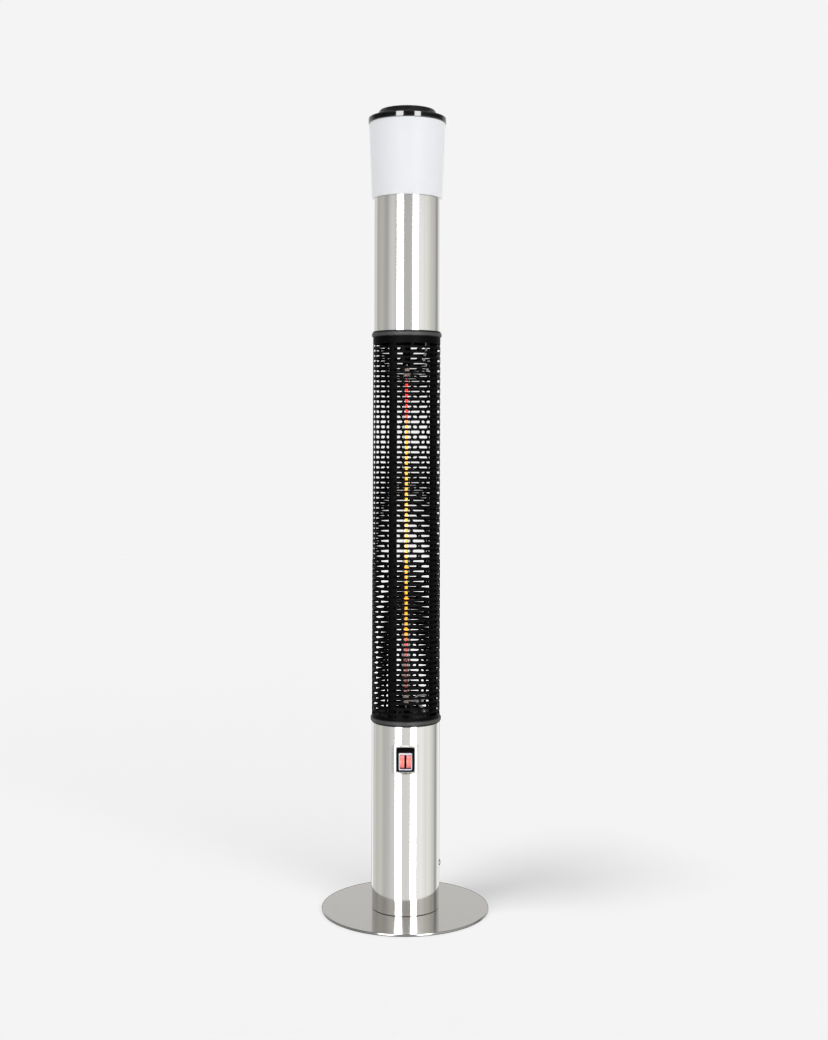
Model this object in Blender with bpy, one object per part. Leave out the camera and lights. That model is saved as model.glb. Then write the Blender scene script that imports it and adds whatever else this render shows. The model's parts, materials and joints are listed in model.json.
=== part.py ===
"""Free-standing electric column heater for a patio, with a lamp on its top.

Metres, +Z up, origin on the floor in the middle of the round base. The front, with the switch,
faces -Y. From the floor up: base plate, lower tube with the switch, grey ring, slotted guard round
a quartz lamp, grey ring, upper tube, frosted shade and black cap.
"""

from math import atan2, cos, pi, radians, sin

import bmesh
import bpy
from mathutils import Matrix, Vector

# ---------------------------------------------------------------- driving dimensions, in metres
GAP = 0.0003               # clearance left between pieces that touch
ROUND = 36                 # sides of a large turned piece
WALL_ROUND = 48            # sides of the lower tube, whose wall has a flat patch
SMALL_ROUND = 12           # sides of a small turned piece
BORE_ROUND = 24            # sides of a bore that another round piece fits
DRILL_TURN = radians(4.7)  # turns round cutters so that no corner of theirs meets a piece's corner

BASE_RADIUS = 0.125
BASE_THICKNESS = 0.003
BASE_CHAMFER = 0.0007
PAD_HEIGHT = 0.001
PAD_RADIUS = 0.008
PAD_CIRCLE = 0.112
PAD_COUNT = 6

TUBE_RADIUS = 0.0508
TUBE_WALL = 0.0012
LOWER_TUBE_TOP = 0.2837
UPPER_TUBE_BOTTOM = 0.8703
UPPER_TUBE_TOP = 1.0707

SOCKET_RADIUS = 0.0492
SOCKET_WALL = 0.0015
SOCKET_TOP = 0.090
SOCKET_FLANGE = 0.003
SOCKET_BORE = 0.030
BASE_SCREW_CIRCLE = 0.038
BASE_SCREW_COUNT = 3
BASE_SCREW_START = 30.0    # degrees from +X to the first screw
BASE_SCREW_HEAD = 0.0037
BASE_SCREW_HEAD_HEIGHT = 0.0018
BASE_SCREW_LENGTH = 0.0085
SINK_RADIUS = 0.0042
SINK_DEPTH = 0.0018

SCREW_SHANK = 0.002
SCREW_HOLE = 0.0024
SCREW_HEAD = 0.0045
SCREW_HEAD_HEIGHT = 0.0015
SCREW_REACH = 0.0065       # from the tube's outside to the screw's inner end
SIDE_SCREW_Z = 0.070
WALL_CUT = (0.040, 0.060)  # stretch of a wall hole's cutter, from the column's axis
GLAND_Z = 0.040
GLAND_THREAD = 0.006
GLAND_BORE = 0.0036
GLAND_INNER_END = 0.040
GLAND_FLANGE = 0.0092
GLAND_FLANGE_HEIGHT = 0.004
GLAND_NUT = 0.0082
GLAND_NUT_HEIGHT = 0.0115
GLAND_LIP = 0.0062
GLAND_HEIGHT = 0.015

RING_RADIUS = 0.0527
RING_HEIGHT = 0.008
RING_BORE = 0.0482
RING_SKIRT = 0.016
RING_EDGE = 0.0006
RING_SKIRT_STEP = 0.0008
RING_FLOOR = 0.001
LOWER_RING_BOTTOM = 0.284
UPPER_RING_BOTTOM = 0.862
COLLAR_SCREW_DROP = 0.008  # from a ring's tube face to its rear screw

BULKHEAD_THICKNESS = 0.0025
BULKHEAD_RADIUS = 0.0495
BULKHEAD_CUT = (0.2, 1.0)  # stretch of the bulkhead holes' cutters, past both bulkheads

GUARD_WALL = 0.001
GUARD_BOTTOM = 0.2923
GUARD_TOP = 0.8617
GUARD_ROWS = 8             # fewer and taller rows than the fine perforation, same open share
GUARD_SLOTS = 12
GUARD_WEB = radians(3.1)
GUARD_SLOT_FROM = 0.2966
GUARD_SLOT_TO = 0.8517
GUARD_OPEN_SHARE = 0.56

POST_CIRCLE = 0.0405
POST_RADIUS = 0.00575
POST_END_RADIUS = 0.0046
POST_BORE = 0.003
POST_END_LENGTH = 0.009
POST_ANGLES = (0.0, 120.0, 240.0)
POST_NUT_FLATS = 0.013
POST_NUT_HEIGHT = 0.005

LAMP_RADIUS = 0.0053
LAMP_WALL = 0.0011
LAMP_BOTTOM = 0.322
LAMP_TOP = 0.800
FILAMENT_RADIUS = 0.0022
FILAMENT_BOTTOM = 0.328
FILAMENT_TOP = 0.794
LAMP_END_RADIUS = 0.0046
LAMP_END_BOTTOM = 0.3097
LAMP_END_TOP = 0.816
STUD_RADIUS = 0.0014
STUD_LENGTH = 0.006
FILAMENT_LEAD = 0.0006
HOLDER_RADIUS = 0.0075
HOLDER_FOOT = 0.0115
HOLDER_FOOT_HEIGHT = 0.002
LEAD_HOLE = (0.029, 0.005)
LEAD_RADIUS = 0.0019
LEAD_CLEARANCE = 0.0006
WIRE_RADIUS = 0.0016

SWITCH_Z = 0.2327          # middle of the rockers
SWITCH_FLAT_Y = -0.0496    # flattened patch of the tube wall under the switch frame
SWITCH_FLAT_ANGLE = radians(16)
SWITCH_FLAT_BLEND = 0.008  # height over which the patch runs out above and below the frame
SWITCH_CUT = (-0.060, -0.040)
FRAME_WIDTH = 0.0271
FRAME_BOTTOM = 0.2183
FRAME_TOP = 0.2537
FRAME_THICKNESS = 0.0024
HOOD_DEPTH = 0.0019
WINDOW_WIDTH = 0.0199
WINDOW_BOTTOM = 0.2205
WINDOW_TOP = 0.2465
SEAL_THICKNESS = 0.0021
HOUSING_BACK_Y = -0.022
TAB_HALF_THICKNESS = 0.0004
TAB_HALF_WIDTH = 0.0024
TAB_LENGTH = 0.008
TAB_OFFSET = 0.006
ROCKER_WIDTH = 0.0063
ROCKER_OFFSET = 0.00485
ROCKER_HALF = 0.0095
ROCKER_FRONT = 0.0055      # from the pivot to the rocker's front edges
ROCKER_DISH = 0.0011
ROCKER_EDGE_DEPTH = 0.0020
ROCKER_BACK = 0.0025
ROCKER_BACK_HALF = 0.004
ROCKER_TILT = radians(8.0)
ROCKER_ROOM = 0.0004       # clearance beside a rocker
ROCKER_OPENING = 0.0105    # half height of the opening that a rocker swings in
PIVOT_Y = -0.0462
PIN_RADIUS = 0.0008
PIN_HALF_LENGTH = 0.0092
POCKET_DEPTH = 0.0036      # behind the pivot

SHADE_BOTTOM = 1.071
SHADE_TOP = 1.184
SHADE_BOTTOM_RADIUS = 0.0531
SHADE_TOP_RADIUS = 0.0575
SHADE_WALL = 0.003
SEAT_RADIUS = 0.0498
SEAT_THICKNESS = 0.003
SEAT_SKIRT_HEIGHT = 0.020
SEAT_SKIRT_WALL = 0.002
LED_BOARD_RADIUS = 0.034
LED_BOARD_THICKNESS = 0.002
LED_DRIVER_SIZE = (0.026, 0.036, 0.025)
LED_DRIVER_X = 0.008       # from the axis to the driver's near side
TIE_ROD_RADIUS = 0.003
TIE_ROD_BOTTOM = 1.060
TIE_ROD_TOP = 1.1965
TIE_NUT_FLATS = 0.010
TIE_NUT_HEIGHT = 0.005
CAP_RADIUS = 0.0587
CAP_BOTTOM = 1.1843
CAP_TOP = 1.204
CAP_DISC_RADIUS = 0.042
CAP_WALL = 0.002
CAP_LIP_DEPTH = 0.004
CAP_BOSS_RADIUS = 0.0062

BRACKET_Y = 0.033
BRACKET_FOOT = 0.011
BRACKET_SHEET = 0.0015
BRACKET_TOP = 0.170
BRACKET_HALF_WIDTH = 0.011
TERMINAL_LOW = (-0.021, 0.0185, 0.076)
TERMINAL_HIGH = (0.021, 0.0327, 0.092)
TERMINAL_WELLS = 4
TERMINAL_WELL_PITCH = 0.01013
TERMINAL_WELL_RADIUS = 0.0026
TERMINAL_WELL_DEPTH = 0.004
TIP_SWITCH_LOW = (-0.013, 0.0205, 0.112)
TIP_SWITCH_HIGH = (0.013, 0.0327, 0.138)

BASE_BOTTOM = PAD_HEIGHT + GAP
BASE_TOP = BASE_BOTTOM + BASE_THICKNESS
LOWER_TUBE_BOTTOM = BASE_TOP + GAP
BULKHEAD_LOW_TOP = GUARD_BOTTOM + BULKHEAD_THICKNESS
BULKHEAD_HIGH_BOTTOM = GUARD_TOP - BULKHEAD_THICKNESS


# ---------------------------------------------------------------- materials
def material(name, colour, roughness, metallic=0.0, alpha=1.0, glow=0.0):
    """A Principled material; glow is the emission strength in the base colour."""
    made = bpy.data.materials.new(name)
    made.use_nodes = True
    shader = made.node_tree.nodes["Principled BSDF"]
    shader.inputs["Base Color"].default_value = (*colour, 1.0)
    shader.inputs["Roughness"].default_value = roughness
    shader.inputs["Metallic"].default_value = metallic
    shader.inputs["Alpha"].default_value = alpha
    shader.inputs["Emission Color"].default_value = (*colour, 1.0)
    shader.inputs["Emission Strength"].default_value = glow
    made.diffuse_color = (*colour, alpha)
    return made


def make_materials():
    return {
        "steel": material("brushed_stainless", (0.62, 0.61, 0.59), 0.30, 1.0),
        "zinc": material("zinc_plated_steel", (0.55, 0.56, 0.58), 0.35, 1.0),
        "black_steel": material("black_coated_steel", (0.012, 0.012, 0.014), 0.45),
        "ring": material("grey_ring_coating", (0.16, 0.16, 0.165), 0.50),
        "rubber": material("black_rubber", (0.02, 0.02, 0.02), 0.85),
        "plastic": material("black_switch_plastic", (0.015, 0.015, 0.016), 0.40),
        "seal": material("clear_silicone", (0.82, 0.82, 0.88), 0.35, 0.0, 0.7),
        "rocker": material("red_rocker", (0.90, 0.16, 0.10), 0.30, 0.0, 1.0, 1.0),
        "brass": material("pin_brass", (0.75, 0.55, 0.25), 0.30, 1.0),
        "block": material("white_terminal_plastic", (0.80, 0.79, 0.74), 0.50),
        "quartz": material("quartz_glass", (0.95, 0.93, 0.92), 0.05, 0.0, 0.3),
        "filament": material("glowing_filament", (1.0, 0.32, 0.04), 0.50, 0.0, 1.0, 4.0),
        "ceramic": material("lamp_end_ceramic", (0.80, 0.70, 0.66), 0.60),
        "sleeve": material("glass_fibre_sleeve", (0.86, 0.85, 0.82), 0.80),
        "wire": material("silicone_wire", (0.45, 0.05, 0.04), 0.50),
        "board": material("led_board_aluminium", (0.85, 0.86, 0.86), 0.40, 0.6),
        "driver": material("driver_case_plastic", (0.75, 0.75, 0.74), 0.45),
        "shade": material("frosted_shade", (0.90, 0.90, 0.90), 0.45, 0.0, 1.0, 0.3),
        "cap": material("gloss_black_cap", (0.010, 0.010, 0.011), 0.12),
    }


# ---------------------------------------------------------------- shape helpers
def clear_scene():
    for old in list(bpy.data.objects):
        bpy.data.objects.remove(old, do_unlink=True)


def add_object(name, mesh, finish, place=None):
    made = bpy.data.objects.new(name, mesh)
    bpy.context.scene.collection.objects.link(made)
    if finish is not None:
        mesh.materials.append(finish)
    if place is not None:
        made.matrix_world = place
    return made


def mesh_of(name, shape, smooth_angle=None):
    """Turns a bmesh into a mesh with outward normals, smooth where its faces meet gently."""
    bmesh.ops.recalc_face_normals(shape, faces=shape.faces)
    mesh = bpy.data.meshes.new(name)
    shape.to_mesh(mesh)
    shape.free()
    if smooth_angle is not None:
        mesh.shade_smooth()
        mesh.set_sharp_from_angle(angle=smooth_angle)
    return mesh


def turned(name, outline, finish, sides=ROUND, place=None):
    """A solid turned about Z from a closed outline of (radius, height) points."""
    shape = bmesh.new()
    rings = []
    for radius, height in outline:
        if radius < 1e-7:
            rings.append([shape.verts.new((0.0, 0.0, height))] * sides)
            continue
        ring = []
        for step in range(sides):
            angle = 2 * pi * step / sides
            ring.append(shape.verts.new((radius * cos(angle), radius * sin(angle), height)))
        rings.append(ring)
    closing = rings[1:] + rings[:1]
    for first, second in zip(rings, closing):
        for step in range(sides):
            after = (step + 1) % sides
            corners = [first[step], first[after], second[after], second[step]]
            different = list(dict.fromkeys(corners))
            if len(different) > 2:
                shape.faces.new(different)
    return add_object(name, mesh_of(name, shape, radians(35)), finish, place)


def disc(name, radius, low, high, finish, sides=ROUND, place=None):
    return turned(name, [(0, low), (radius, low), (radius, high), (0, high)], finish, sides, place)


def drill(name, radius, low, high, place=None, sides=SMALL_ROUND):
    """Round cutter, turned a little so that none of its corners meets a corner of what it cuts."""
    turn = Matrix.Rotation(DRILL_TURN, 4, "Z")
    return disc(name, radius, low, high, None, sides, (place or Matrix()) @ turn)


def pipe(name, inner, outer, low, high, finish, sides=ROUND, place=None):
    outline = [(inner, low), (outer, low), (outer, high), (inner, high)]
    return turned(name, outline, finish, sides, place)


def block(name, low, high, finish, edge=0.0):
    """A box between two corners, with its edges bevelled by edge."""
    shape = bmesh.new()
    bmesh.ops.create_cube(shape, size=1.0)
    low, high = Vector(low), Vector(high)
    size = high - low
    bmesh.ops.scale(shape, vec=size, verts=shape.verts)
    bmesh.ops.translate(shape, vec=(low + high) / 2, verts=shape.verts)
    made = add_object(name, mesh_of(name, shape), finish)
    if edge:
        bevel(made, edge)
    return made


def bevel(piece, width, segments=2):
    modifier = piece.modifiers.new("rounded_edges", "BEVEL")
    modifier.width = width
    modifier.segments = segments
    modifier.limit_method = "ANGLE"
    modifier.angle_limit = radians(40)


def side_prism(name, outline, low_x, high_x, finish, place=None):
    """A solid with the (y, z) outline, as thick as the stretch from low_x to high_x."""
    shape = bmesh.new()
    near = [shape.verts.new((low_x, y, z)) for y, z in outline]
    far = [shape.verts.new((high_x, y, z)) for y, z in outline]
    shape.faces.new(near)
    shape.faces.new(far[::-1])
    for index in range(len(outline)):
        after = (index + 1) % len(outline)
        shape.faces.new([near[after], near[index], far[index], far[after]])
    return add_object(name, mesh_of(name, shape), finish, place)


def hex_nut(name, flats, bore, low, high, finish, place):
    """A hexagonal nut about Z, with one flat facing +X."""
    sides = 24
    shape = bmesh.new()
    loops = []
    for height in (low, high):
        inner = []
        outer = []
        for step in range(sides):
            angle = 2 * pi * step / sides
            from_flat = (angle + pi / 6) % (pi / 3) - pi / 6
            reach = flats / 2 / cos(from_flat)
            inner.append(shape.verts.new((bore * cos(angle), bore * sin(angle), height)))
            outer.append(shape.verts.new((reach * cos(angle), reach * sin(angle), height)))
        loops += [inner, outer]
    low_inner, low_outer, high_inner, high_outer = loops
    walls = (
        (low_outer, high_outer),
        (high_outer, high_inner),
        (high_inner, low_inner),
        (low_inner, low_outer),
    )
    for first, second in walls:
        for step in range(sides):
            after = (step + 1) % sides
            shape.faces.new([first[step], first[after], second[after], second[step]])
    return add_object(name, mesh_of(name, shape), finish, place)


def wire(name, points, radius, finish, bevel_resolution=2):
    """A round flexible lead on a smooth curve through its route's points."""
    data = bpy.data.curves.new(name, "CURVE")
    data.dimensions = "3D"
    data.bevel_depth = radius
    data.bevel_resolution = bevel_resolution
    data.use_fill_caps = True
    smooth = smooth_route(points)
    spline = data.splines.new("POLY")
    spline.points.add(len(smooth) - 1)
    for target, point in zip(spline.points, smooth):
        target.co = (*point, 1.0)
    data.materials.append(finish)
    made = bpy.data.objects.new(name, data)
    bpy.context.scene.collection.objects.link(made)
    return made


def smooth_route(points, steps=3):
    """Catmull-Rom points through the route, straight where two route points repeat a direction."""
    route = [Vector(point) for point in points]
    padded = [2 * route[0] - route[1], *route, 2 * route[-1] - route[-2]]
    made = []
    for index in range(1, len(padded) - 2):
        before, start, end, after = padded[index - 1:index + 3]
        length = (end - start).length
        start_pull = (end - before).normalized() * length
        end_pull = (after - start).normalized() * length
        for step in range(steps):
            t = step / steps
            made.append(
                (2 * t**3 - 3 * t**2 + 1) * start
                + (t**3 - 2 * t**2 + t) * start_pull
                + (3 * t**2 - 2 * t**3) * end
                + (t**3 - t**2) * end_pull
            )
    made.append(route[-1])
    return made


def cut(piece, cutter):
    """Removes a helper's volume from a piece."""
    cutter.hide_render = True
    cutter.display_type = "WIRE"
    modifier = piece.modifiers.new("cut_" + cutter.name, "BOOLEAN")
    modifier.operation = "DIFFERENCE"
    modifier.solver = "EXACT"
    modifier.object = cutter


def join(piece, helper):
    """Adds a helper's volume to a piece."""
    helper.hide_render = True
    helper.display_type = "WIRE"
    modifier = piece.modifiers.new("join_" + helper.name, "BOOLEAN")
    modifier.operation = "UNION"
    modifier.solver = "EXACT"
    modifier.object = helper


def upright_at(x, y, turn=0.0):
    return Matrix.Translation((x, y, 0.0)) @ Matrix.Rotation(turn, 4, "Z")


def on_wall(direction, z):
    """Frame with +Z pointing out of the column, towards direction degrees from +X, at height z."""
    turn = Matrix.Rotation(radians(direction), 4, "Z")
    return Matrix.Translation((0, 0, z)) @ turn @ Matrix.Rotation(pi / 2, 4, "Y")


def along_x(x, y, z):
    return Matrix.Translation((x, y, z)) @ Matrix.Rotation(pi / 2, 4, "Y")


def circle_places(count, radius, start=0.0):
    for index in range(count):
        angle = radians(start) + 2 * pi * index / count
        yield index + 1, radius * cos(angle), radius * sin(angle)


def screw_places():
    return circle_places(BASE_SCREW_COUNT, BASE_SCREW_CIRCLE, BASE_SCREW_START)


# ---------------------------------------------------------------- base
def make_base_plate(finish):
    outline = [
        (0, BASE_BOTTOM),
        (BASE_RADIUS - BASE_CHAMFER, BASE_BOTTOM),
        (BASE_RADIUS, BASE_BOTTOM + BASE_CHAMFER),
        (BASE_RADIUS, BASE_TOP - BASE_CHAMFER),
        (BASE_RADIUS - BASE_CHAMFER, BASE_TOP),
        (0, BASE_TOP),
    ]
    plate = turned("base_plate", outline, finish, WALL_ROUND)
    past_plate = BASE_TOP + BASE_THICKNESS
    sink = [
        (0, 0),
        (SINK_RADIUS, 0),
        (SINK_RADIUS, BASE_BOTTOM + 0.0002),
        (SCREW_HOLE, BASE_BOTTOM + 0.0002 + SINK_DEPTH),
        (SCREW_HOLE, past_plate),
        (0, past_plate),
    ]
    for index, x, y in screw_places():
        place = upright_at(x, y, DRILL_TURN)
        cut(plate, turned(f"countersink_{index}", sink, None, SMALL_ROUND, place))


def make_base_pads(finish):
    for index, x, y in circle_places(PAD_COUNT, PAD_CIRCLE):
        disc(f"base_pad_{index}", PAD_RADIUS, 0, PAD_HEIGHT, finish, SMALL_ROUND, upright_at(x, y))


def make_base_socket(finish):
    """Flanged sleeve on the plate, which the lower tube slides over."""
    bottom = BASE_TOP + GAP
    inner = SOCKET_RADIUS - SOCKET_WALL
    outline = [
        (SOCKET_BORE, bottom),
        (SOCKET_RADIUS, bottom),
        (SOCKET_RADIUS, SOCKET_TOP),
        (inner, SOCKET_TOP),
        (inner, bottom + SOCKET_FLANGE),
        (SOCKET_BORE, bottom + SOCKET_FLANGE),
    ]
    socket = turned("base_socket", outline, finish)
    for index, x, y in screw_places():
        cut(socket, drill(f"socket_hole_{index}", SCREW_HOLE, 0, SOCKET_TOP / 4, upright_at(x, y)))
    cut(socket, wall_hole("socket_side_hole", 0, SIDE_SCREW_Z, SCREW_HOLE))
    cut(socket, wall_hole("socket_rear_hole", 90, SIDE_SCREW_Z, SCREW_HOLE))
    cut(socket, wall_hole("socket_gland_hole", 90, GLAND_Z, GLAND_THREAD + GAP))


def wall_hole(name, direction, z, radius):
    """Cutter for a round hole through one side of the column's wall."""
    sides = BORE_ROUND if radius > SCREW_HOLE else SMALL_ROUND
    return drill(name, radius, *WALL_CUT, on_wall(direction, z), sides)


def make_base_screws(finish):
    bottom = BASE_BOTTOM + GAP / 3
    outline = [
        (0, bottom),
        (BASE_SCREW_HEAD, bottom),
        (SCREW_SHANK, bottom + BASE_SCREW_HEAD_HEIGHT),
        (SCREW_SHANK, bottom + BASE_SCREW_LENGTH),
        (0, bottom + BASE_SCREW_LENGTH),
    ]
    for index, x, y in screw_places():
        turned(f"base_screw_{index}", outline, finish, SMALL_ROUND, upright_at(x, y))


# ---------------------------------------------------------------- lower tube
def wall_point(radius, angle, z, flat_y):
    """A point of the tube wall, pushed onto the flat patch under the switch frame."""
    x, y = radius * cos(angle), radius * sin(angle)
    beside = abs(atan2(x, -y))
    if beside < SWITCH_FLAT_ANGLE and FRAME_BOTTOM - GAP < z < FRAME_TOP + GAP:
        y = flat_y
    return x, y, z


def make_lower_tube(finish):
    inner = TUBE_RADIUS - TUBE_WALL
    heights = (
        LOWER_TUBE_BOTTOM,
        FRAME_BOTTOM - SWITCH_FLAT_BLEND,
        FRAME_BOTTOM,
        FRAME_TOP,
        FRAME_TOP + SWITCH_FLAT_BLEND,
        LOWER_TUBE_TOP,
    )
    shape = bmesh.new()
    loops = [(TUBE_RADIUS, z, SWITCH_FLAT_Y) for z in heights]
    loops += [(inner, z, SWITCH_FLAT_Y + TUBE_WALL) for z in reversed(heights)]
    rings = []
    for radius, z, flat_y in loops:
        ring = []
        for step in range(WALL_ROUND):
            angle = -pi / 2 + 2 * pi * step / WALL_ROUND
            ring.append(shape.verts.new(wall_point(radius, angle, z, flat_y)))
        rings.append(ring)
    for first, second in zip(rings, rings[1:] + rings[:1]):
        for step in range(WALL_ROUND):
            after = (step + 1) % WALL_ROUND
            shape.faces.new([first[step], first[after], second[after], second[step]])
    tube = add_object("lower_tube", mesh_of("lower_tube", shape, radians(35)), finish)
    cut(tube, window_cutter("tube_window"))
    cut(tube, wall_hole("tube_side_hole", 0, SIDE_SCREW_Z, SCREW_HOLE))
    cut(tube, wall_hole("tube_rear_hole", 90, SIDE_SCREW_Z, SCREW_HOLE))
    cut(tube, wall_hole("tube_gland_hole", 90, GLAND_Z, GLAND_THREAD + GAP))
    collar_z = LOWER_RING_BOTTOM - COLLAR_SCREW_DROP
    cut(tube, wall_hole("tube_collar_hole", 90, collar_z, SCREW_HOLE))


def window_cutter(name):
    half = WINDOW_WIDTH / 2
    front, back = SWITCH_CUT
    return block(name, (-half, front, WINDOW_BOTTOM), (half, back, WINDOW_TOP), None)


def make_wall_screw(name, direction, z, finish):
    """Pan-head screw whose head stands on the tube's outside."""
    seat = TUBE_RADIUS + GAP
    outline = [
        (0, TUBE_RADIUS - SCREW_REACH),
        (SCREW_SHANK, TUBE_RADIUS - SCREW_REACH),
        (SCREW_SHANK, seat),
        (SCREW_HEAD, seat),
        (SCREW_HEAD * 0.96, seat + SCREW_HEAD_HEIGHT * 0.5),
        (SCREW_HEAD * 0.6, seat + SCREW_HEAD_HEIGHT),
        (0, seat + SCREW_HEAD_HEIGHT),
    ]
    turned(name, outline, finish, SMALL_ROUND, on_wall(direction, z))


def make_cable_gland(finish):
    """Cable inlet at the rear, with an open bore right through it."""
    seat = TUBE_RADIUS + GAP
    outline = [
        (GLAND_BORE, GLAND_INNER_END),
        (GLAND_THREAD, GLAND_INNER_END),
        (GLAND_THREAD, seat),
        (GLAND_FLANGE, seat),
        (GLAND_FLANGE, seat + GLAND_FLANGE_HEIGHT),
        (GLAND_NUT, seat + GLAND_FLANGE_HEIGHT + 0.0005),
        (GLAND_NUT, seat + GLAND_NUT_HEIGHT),
        (GLAND_LIP, seat + GLAND_HEIGHT),
        (GLAND_BORE, seat + GLAND_HEIGHT),
    ]
    turned("cable_gland", outline, finish, BORE_ROUND, on_wall(90, GLAND_Z))


# ---------------------------------------------------------------- switch
def make_switch_frame(finish):
    """Frame with thin sides and a rain hood that slopes out over the window."""
    back = SWITCH_FLAT_Y - GAP
    front = back - FRAME_THICKNESS
    edge = 0.0006
    hood_start = WINDOW_TOP - 0.006
    outline = [
        (back, FRAME_BOTTOM),
        (front + edge, FRAME_BOTTOM),
        (front, FRAME_BOTTOM + edge),
        (front, hood_start),
        (front - HOOD_DEPTH, WINDOW_TOP),
        (front - HOOD_DEPTH, WINDOW_TOP + edge),
        (back - edge, FRAME_TOP - edge / 2),
        (back, FRAME_TOP),
    ]
    frame = side_prism("switch_frame", outline, -FRAME_WIDTH / 2, FRAME_WIDTH / 2, finish)
    bevel(frame, 0.0004)
    cut(frame, window_cutter("frame_window"))


def make_switch_seal(finish):
    """Clear silicone ring between the frame's window and the rockers."""
    back = SWITCH_FLAT_Y - GAP
    half = WINDOW_WIDTH / 2 - GAP
    seal = block(
        "switch_seal",
        (-half, back - SEAL_THICKNESS, WINDOW_BOTTOM + GAP),
        (half, back, WINDOW_TOP - GAP),
        finish,
        0.0003,
    )
    reach = ROCKER_OFFSET + ROCKER_WIDTH / 2 + ROCKER_ROOM
    front, back = SWITCH_CUT
    opening = block(
        "seal_opening",
        (-reach, front, SWITCH_Z - ROCKER_OPENING),
        (reach, back, SWITCH_Z + ROCKER_OPENING),
        None,
    )
    cut(seal, opening)


def make_switch_housing(finish):
    """Body behind the frame, with a pocket for each rocker and two pairs of terminals."""
    half = WINDOW_WIDTH / 2 - GAP
    housing = block(
        "switch_housing",
        (-half, SWITCH_FLAT_Y, WINDOW_BOTTOM + GAP),
        (half, HOUSING_BACK_Y, WINDOW_TOP - GAP),
        finish,
    )
    reach = ROCKER_WIDTH / 2 + ROCKER_ROOM
    tab_root = HOUSING_BACK_Y - 0.002
    for side, offset in (("left", -ROCKER_OFFSET), ("right", ROCKER_OFFSET)):
        pocket = block(
            f"pocket_{side}",
            (offset - reach, SWITCH_CUT[0], SWITCH_Z - ROCKER_OPENING),
            (offset + reach, PIVOT_Y + POCKET_DEPTH, SWITCH_Z + ROCKER_OPENING),
            None,
        )
        cut(housing, pocket)
        for level, height in (("low", SWITCH_Z - TAB_OFFSET), ("high", SWITCH_Z + TAB_OFFSET)):
            tab = block(
                f"terminal_{side}_{level}",
                (offset - TAB_HALF_THICKNESS, tab_root, height - TAB_HALF_WIDTH),
                (offset + TAB_HALF_THICKNESS, HOUSING_BACK_Y + TAB_LENGTH, height + TAB_HALF_WIDTH),
                None,
            )
            join(housing, tab)
    pivot = along_x(0, PIVOT_Y, SWITCH_Z)
    past_side = WINDOW_WIDTH
    cut(housing, drill("pin_bore", PIN_RADIUS + GAP, -past_side, past_side, pivot, BORE_ROUND))


def make_rocker(name, offset, finish):
    """Rocker resting with its top pressed in; its own origin is on the pivot axis."""
    outline = [
        (-ROCKER_FRONT, ROCKER_HALF),
        (-ROCKER_FRONT + ROCKER_DISH, 0.0),
        (-ROCKER_FRONT, -ROCKER_HALF),
        (-ROCKER_EDGE_DEPTH, -ROCKER_HALF),
        (ROCKER_BACK, -ROCKER_BACK_HALF),
        (ROCKER_BACK, ROCKER_BACK_HALF),
        (-ROCKER_EDGE_DEPTH, ROCKER_HALF),
    ]
    place = Matrix.Translation((offset, PIVOT_Y, SWITCH_Z)) @ Matrix.Rotation(-ROCKER_TILT, 4, "X")
    rocker = side_prism(name, outline, -ROCKER_WIDTH / 2, ROCKER_WIDTH / 2, finish, place)
    bevel(rocker, 0.0003)
    pivot = along_x(offset, PIVOT_Y, SWITCH_Z)
    bore = PIN_RADIUS + GAP / 3
    cut(rocker, drill(name + "_bore", bore, -ROCKER_WIDTH, ROCKER_WIDTH, pivot, BORE_ROUND))


def make_rocker_pin(finish):
    place = along_x(0, PIVOT_Y, SWITCH_Z)
    disc("rocker_pin", PIN_RADIUS, -PIN_HALF_LENGTH, PIN_HALF_LENGTH, finish, BORE_ROUND, place)


# ---------------------------------------------------------------- wiring inside the lower tube
def make_wiring_bracket(finish):
    foot = BASE_TOP + GAP + SOCKET_FLANGE + GAP
    outline = [
        (BRACKET_Y, foot),
        (BRACKET_Y + BRACKET_FOOT, foot),
        (BRACKET_Y + BRACKET_FOOT, foot + BRACKET_SHEET),
        (BRACKET_Y + BRACKET_SHEET, foot + BRACKET_SHEET),
        (BRACKET_Y + BRACKET_SHEET, BRACKET_TOP),
        (BRACKET_Y, BRACKET_TOP),
    ]
    side_prism("wiring_bracket", outline, -BRACKET_HALF_WIDTH, BRACKET_HALF_WIDTH, finish)


def make_terminal_block(finish):
    terminal = block("terminal_block", TERMINAL_LOW, TERMINAL_HIGH, finish, 0.0006)
    middle_z = (TERMINAL_LOW[2] + TERMINAL_HIGH[2]) / 2
    depth = TERMINAL_WELL_DEPTH
    for index in range(TERMINAL_WELLS):
        x = TERMINAL_WELL_PITCH * (index - (TERMINAL_WELLS - 1) / 2)
        face = Matrix.Translation((x, TERMINAL_LOW[1], middle_z)) @ Matrix.Rotation(pi / 2, 4, "X")
        cut(terminal, drill(f"terminal_well_{index}", TERMINAL_WELL_RADIUS, -depth, depth, face))


def make_tip_over_switch(finish):
    block("tip_over_switch", TIP_SWITCH_LOW, TIP_SWITCH_HIGH, finish, 0.0015)


def make_switch_wire(finish):
    route = [
        (-0.0005, 0.0165, 0.0955),
        (-0.0010, 0.0100, 0.1150),
        (-0.0020, 0.0040, 0.1500),
        (-0.0015, 0.0000, 0.1900),
        (-0.0005, -0.0060, 0.2180),
        (0.0000, -0.0130, 0.2300),
        (0.0000, -0.0190, 0.2327),
    ]
    wire("switch_wire", route, WIRE_RADIUS, finish)


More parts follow.
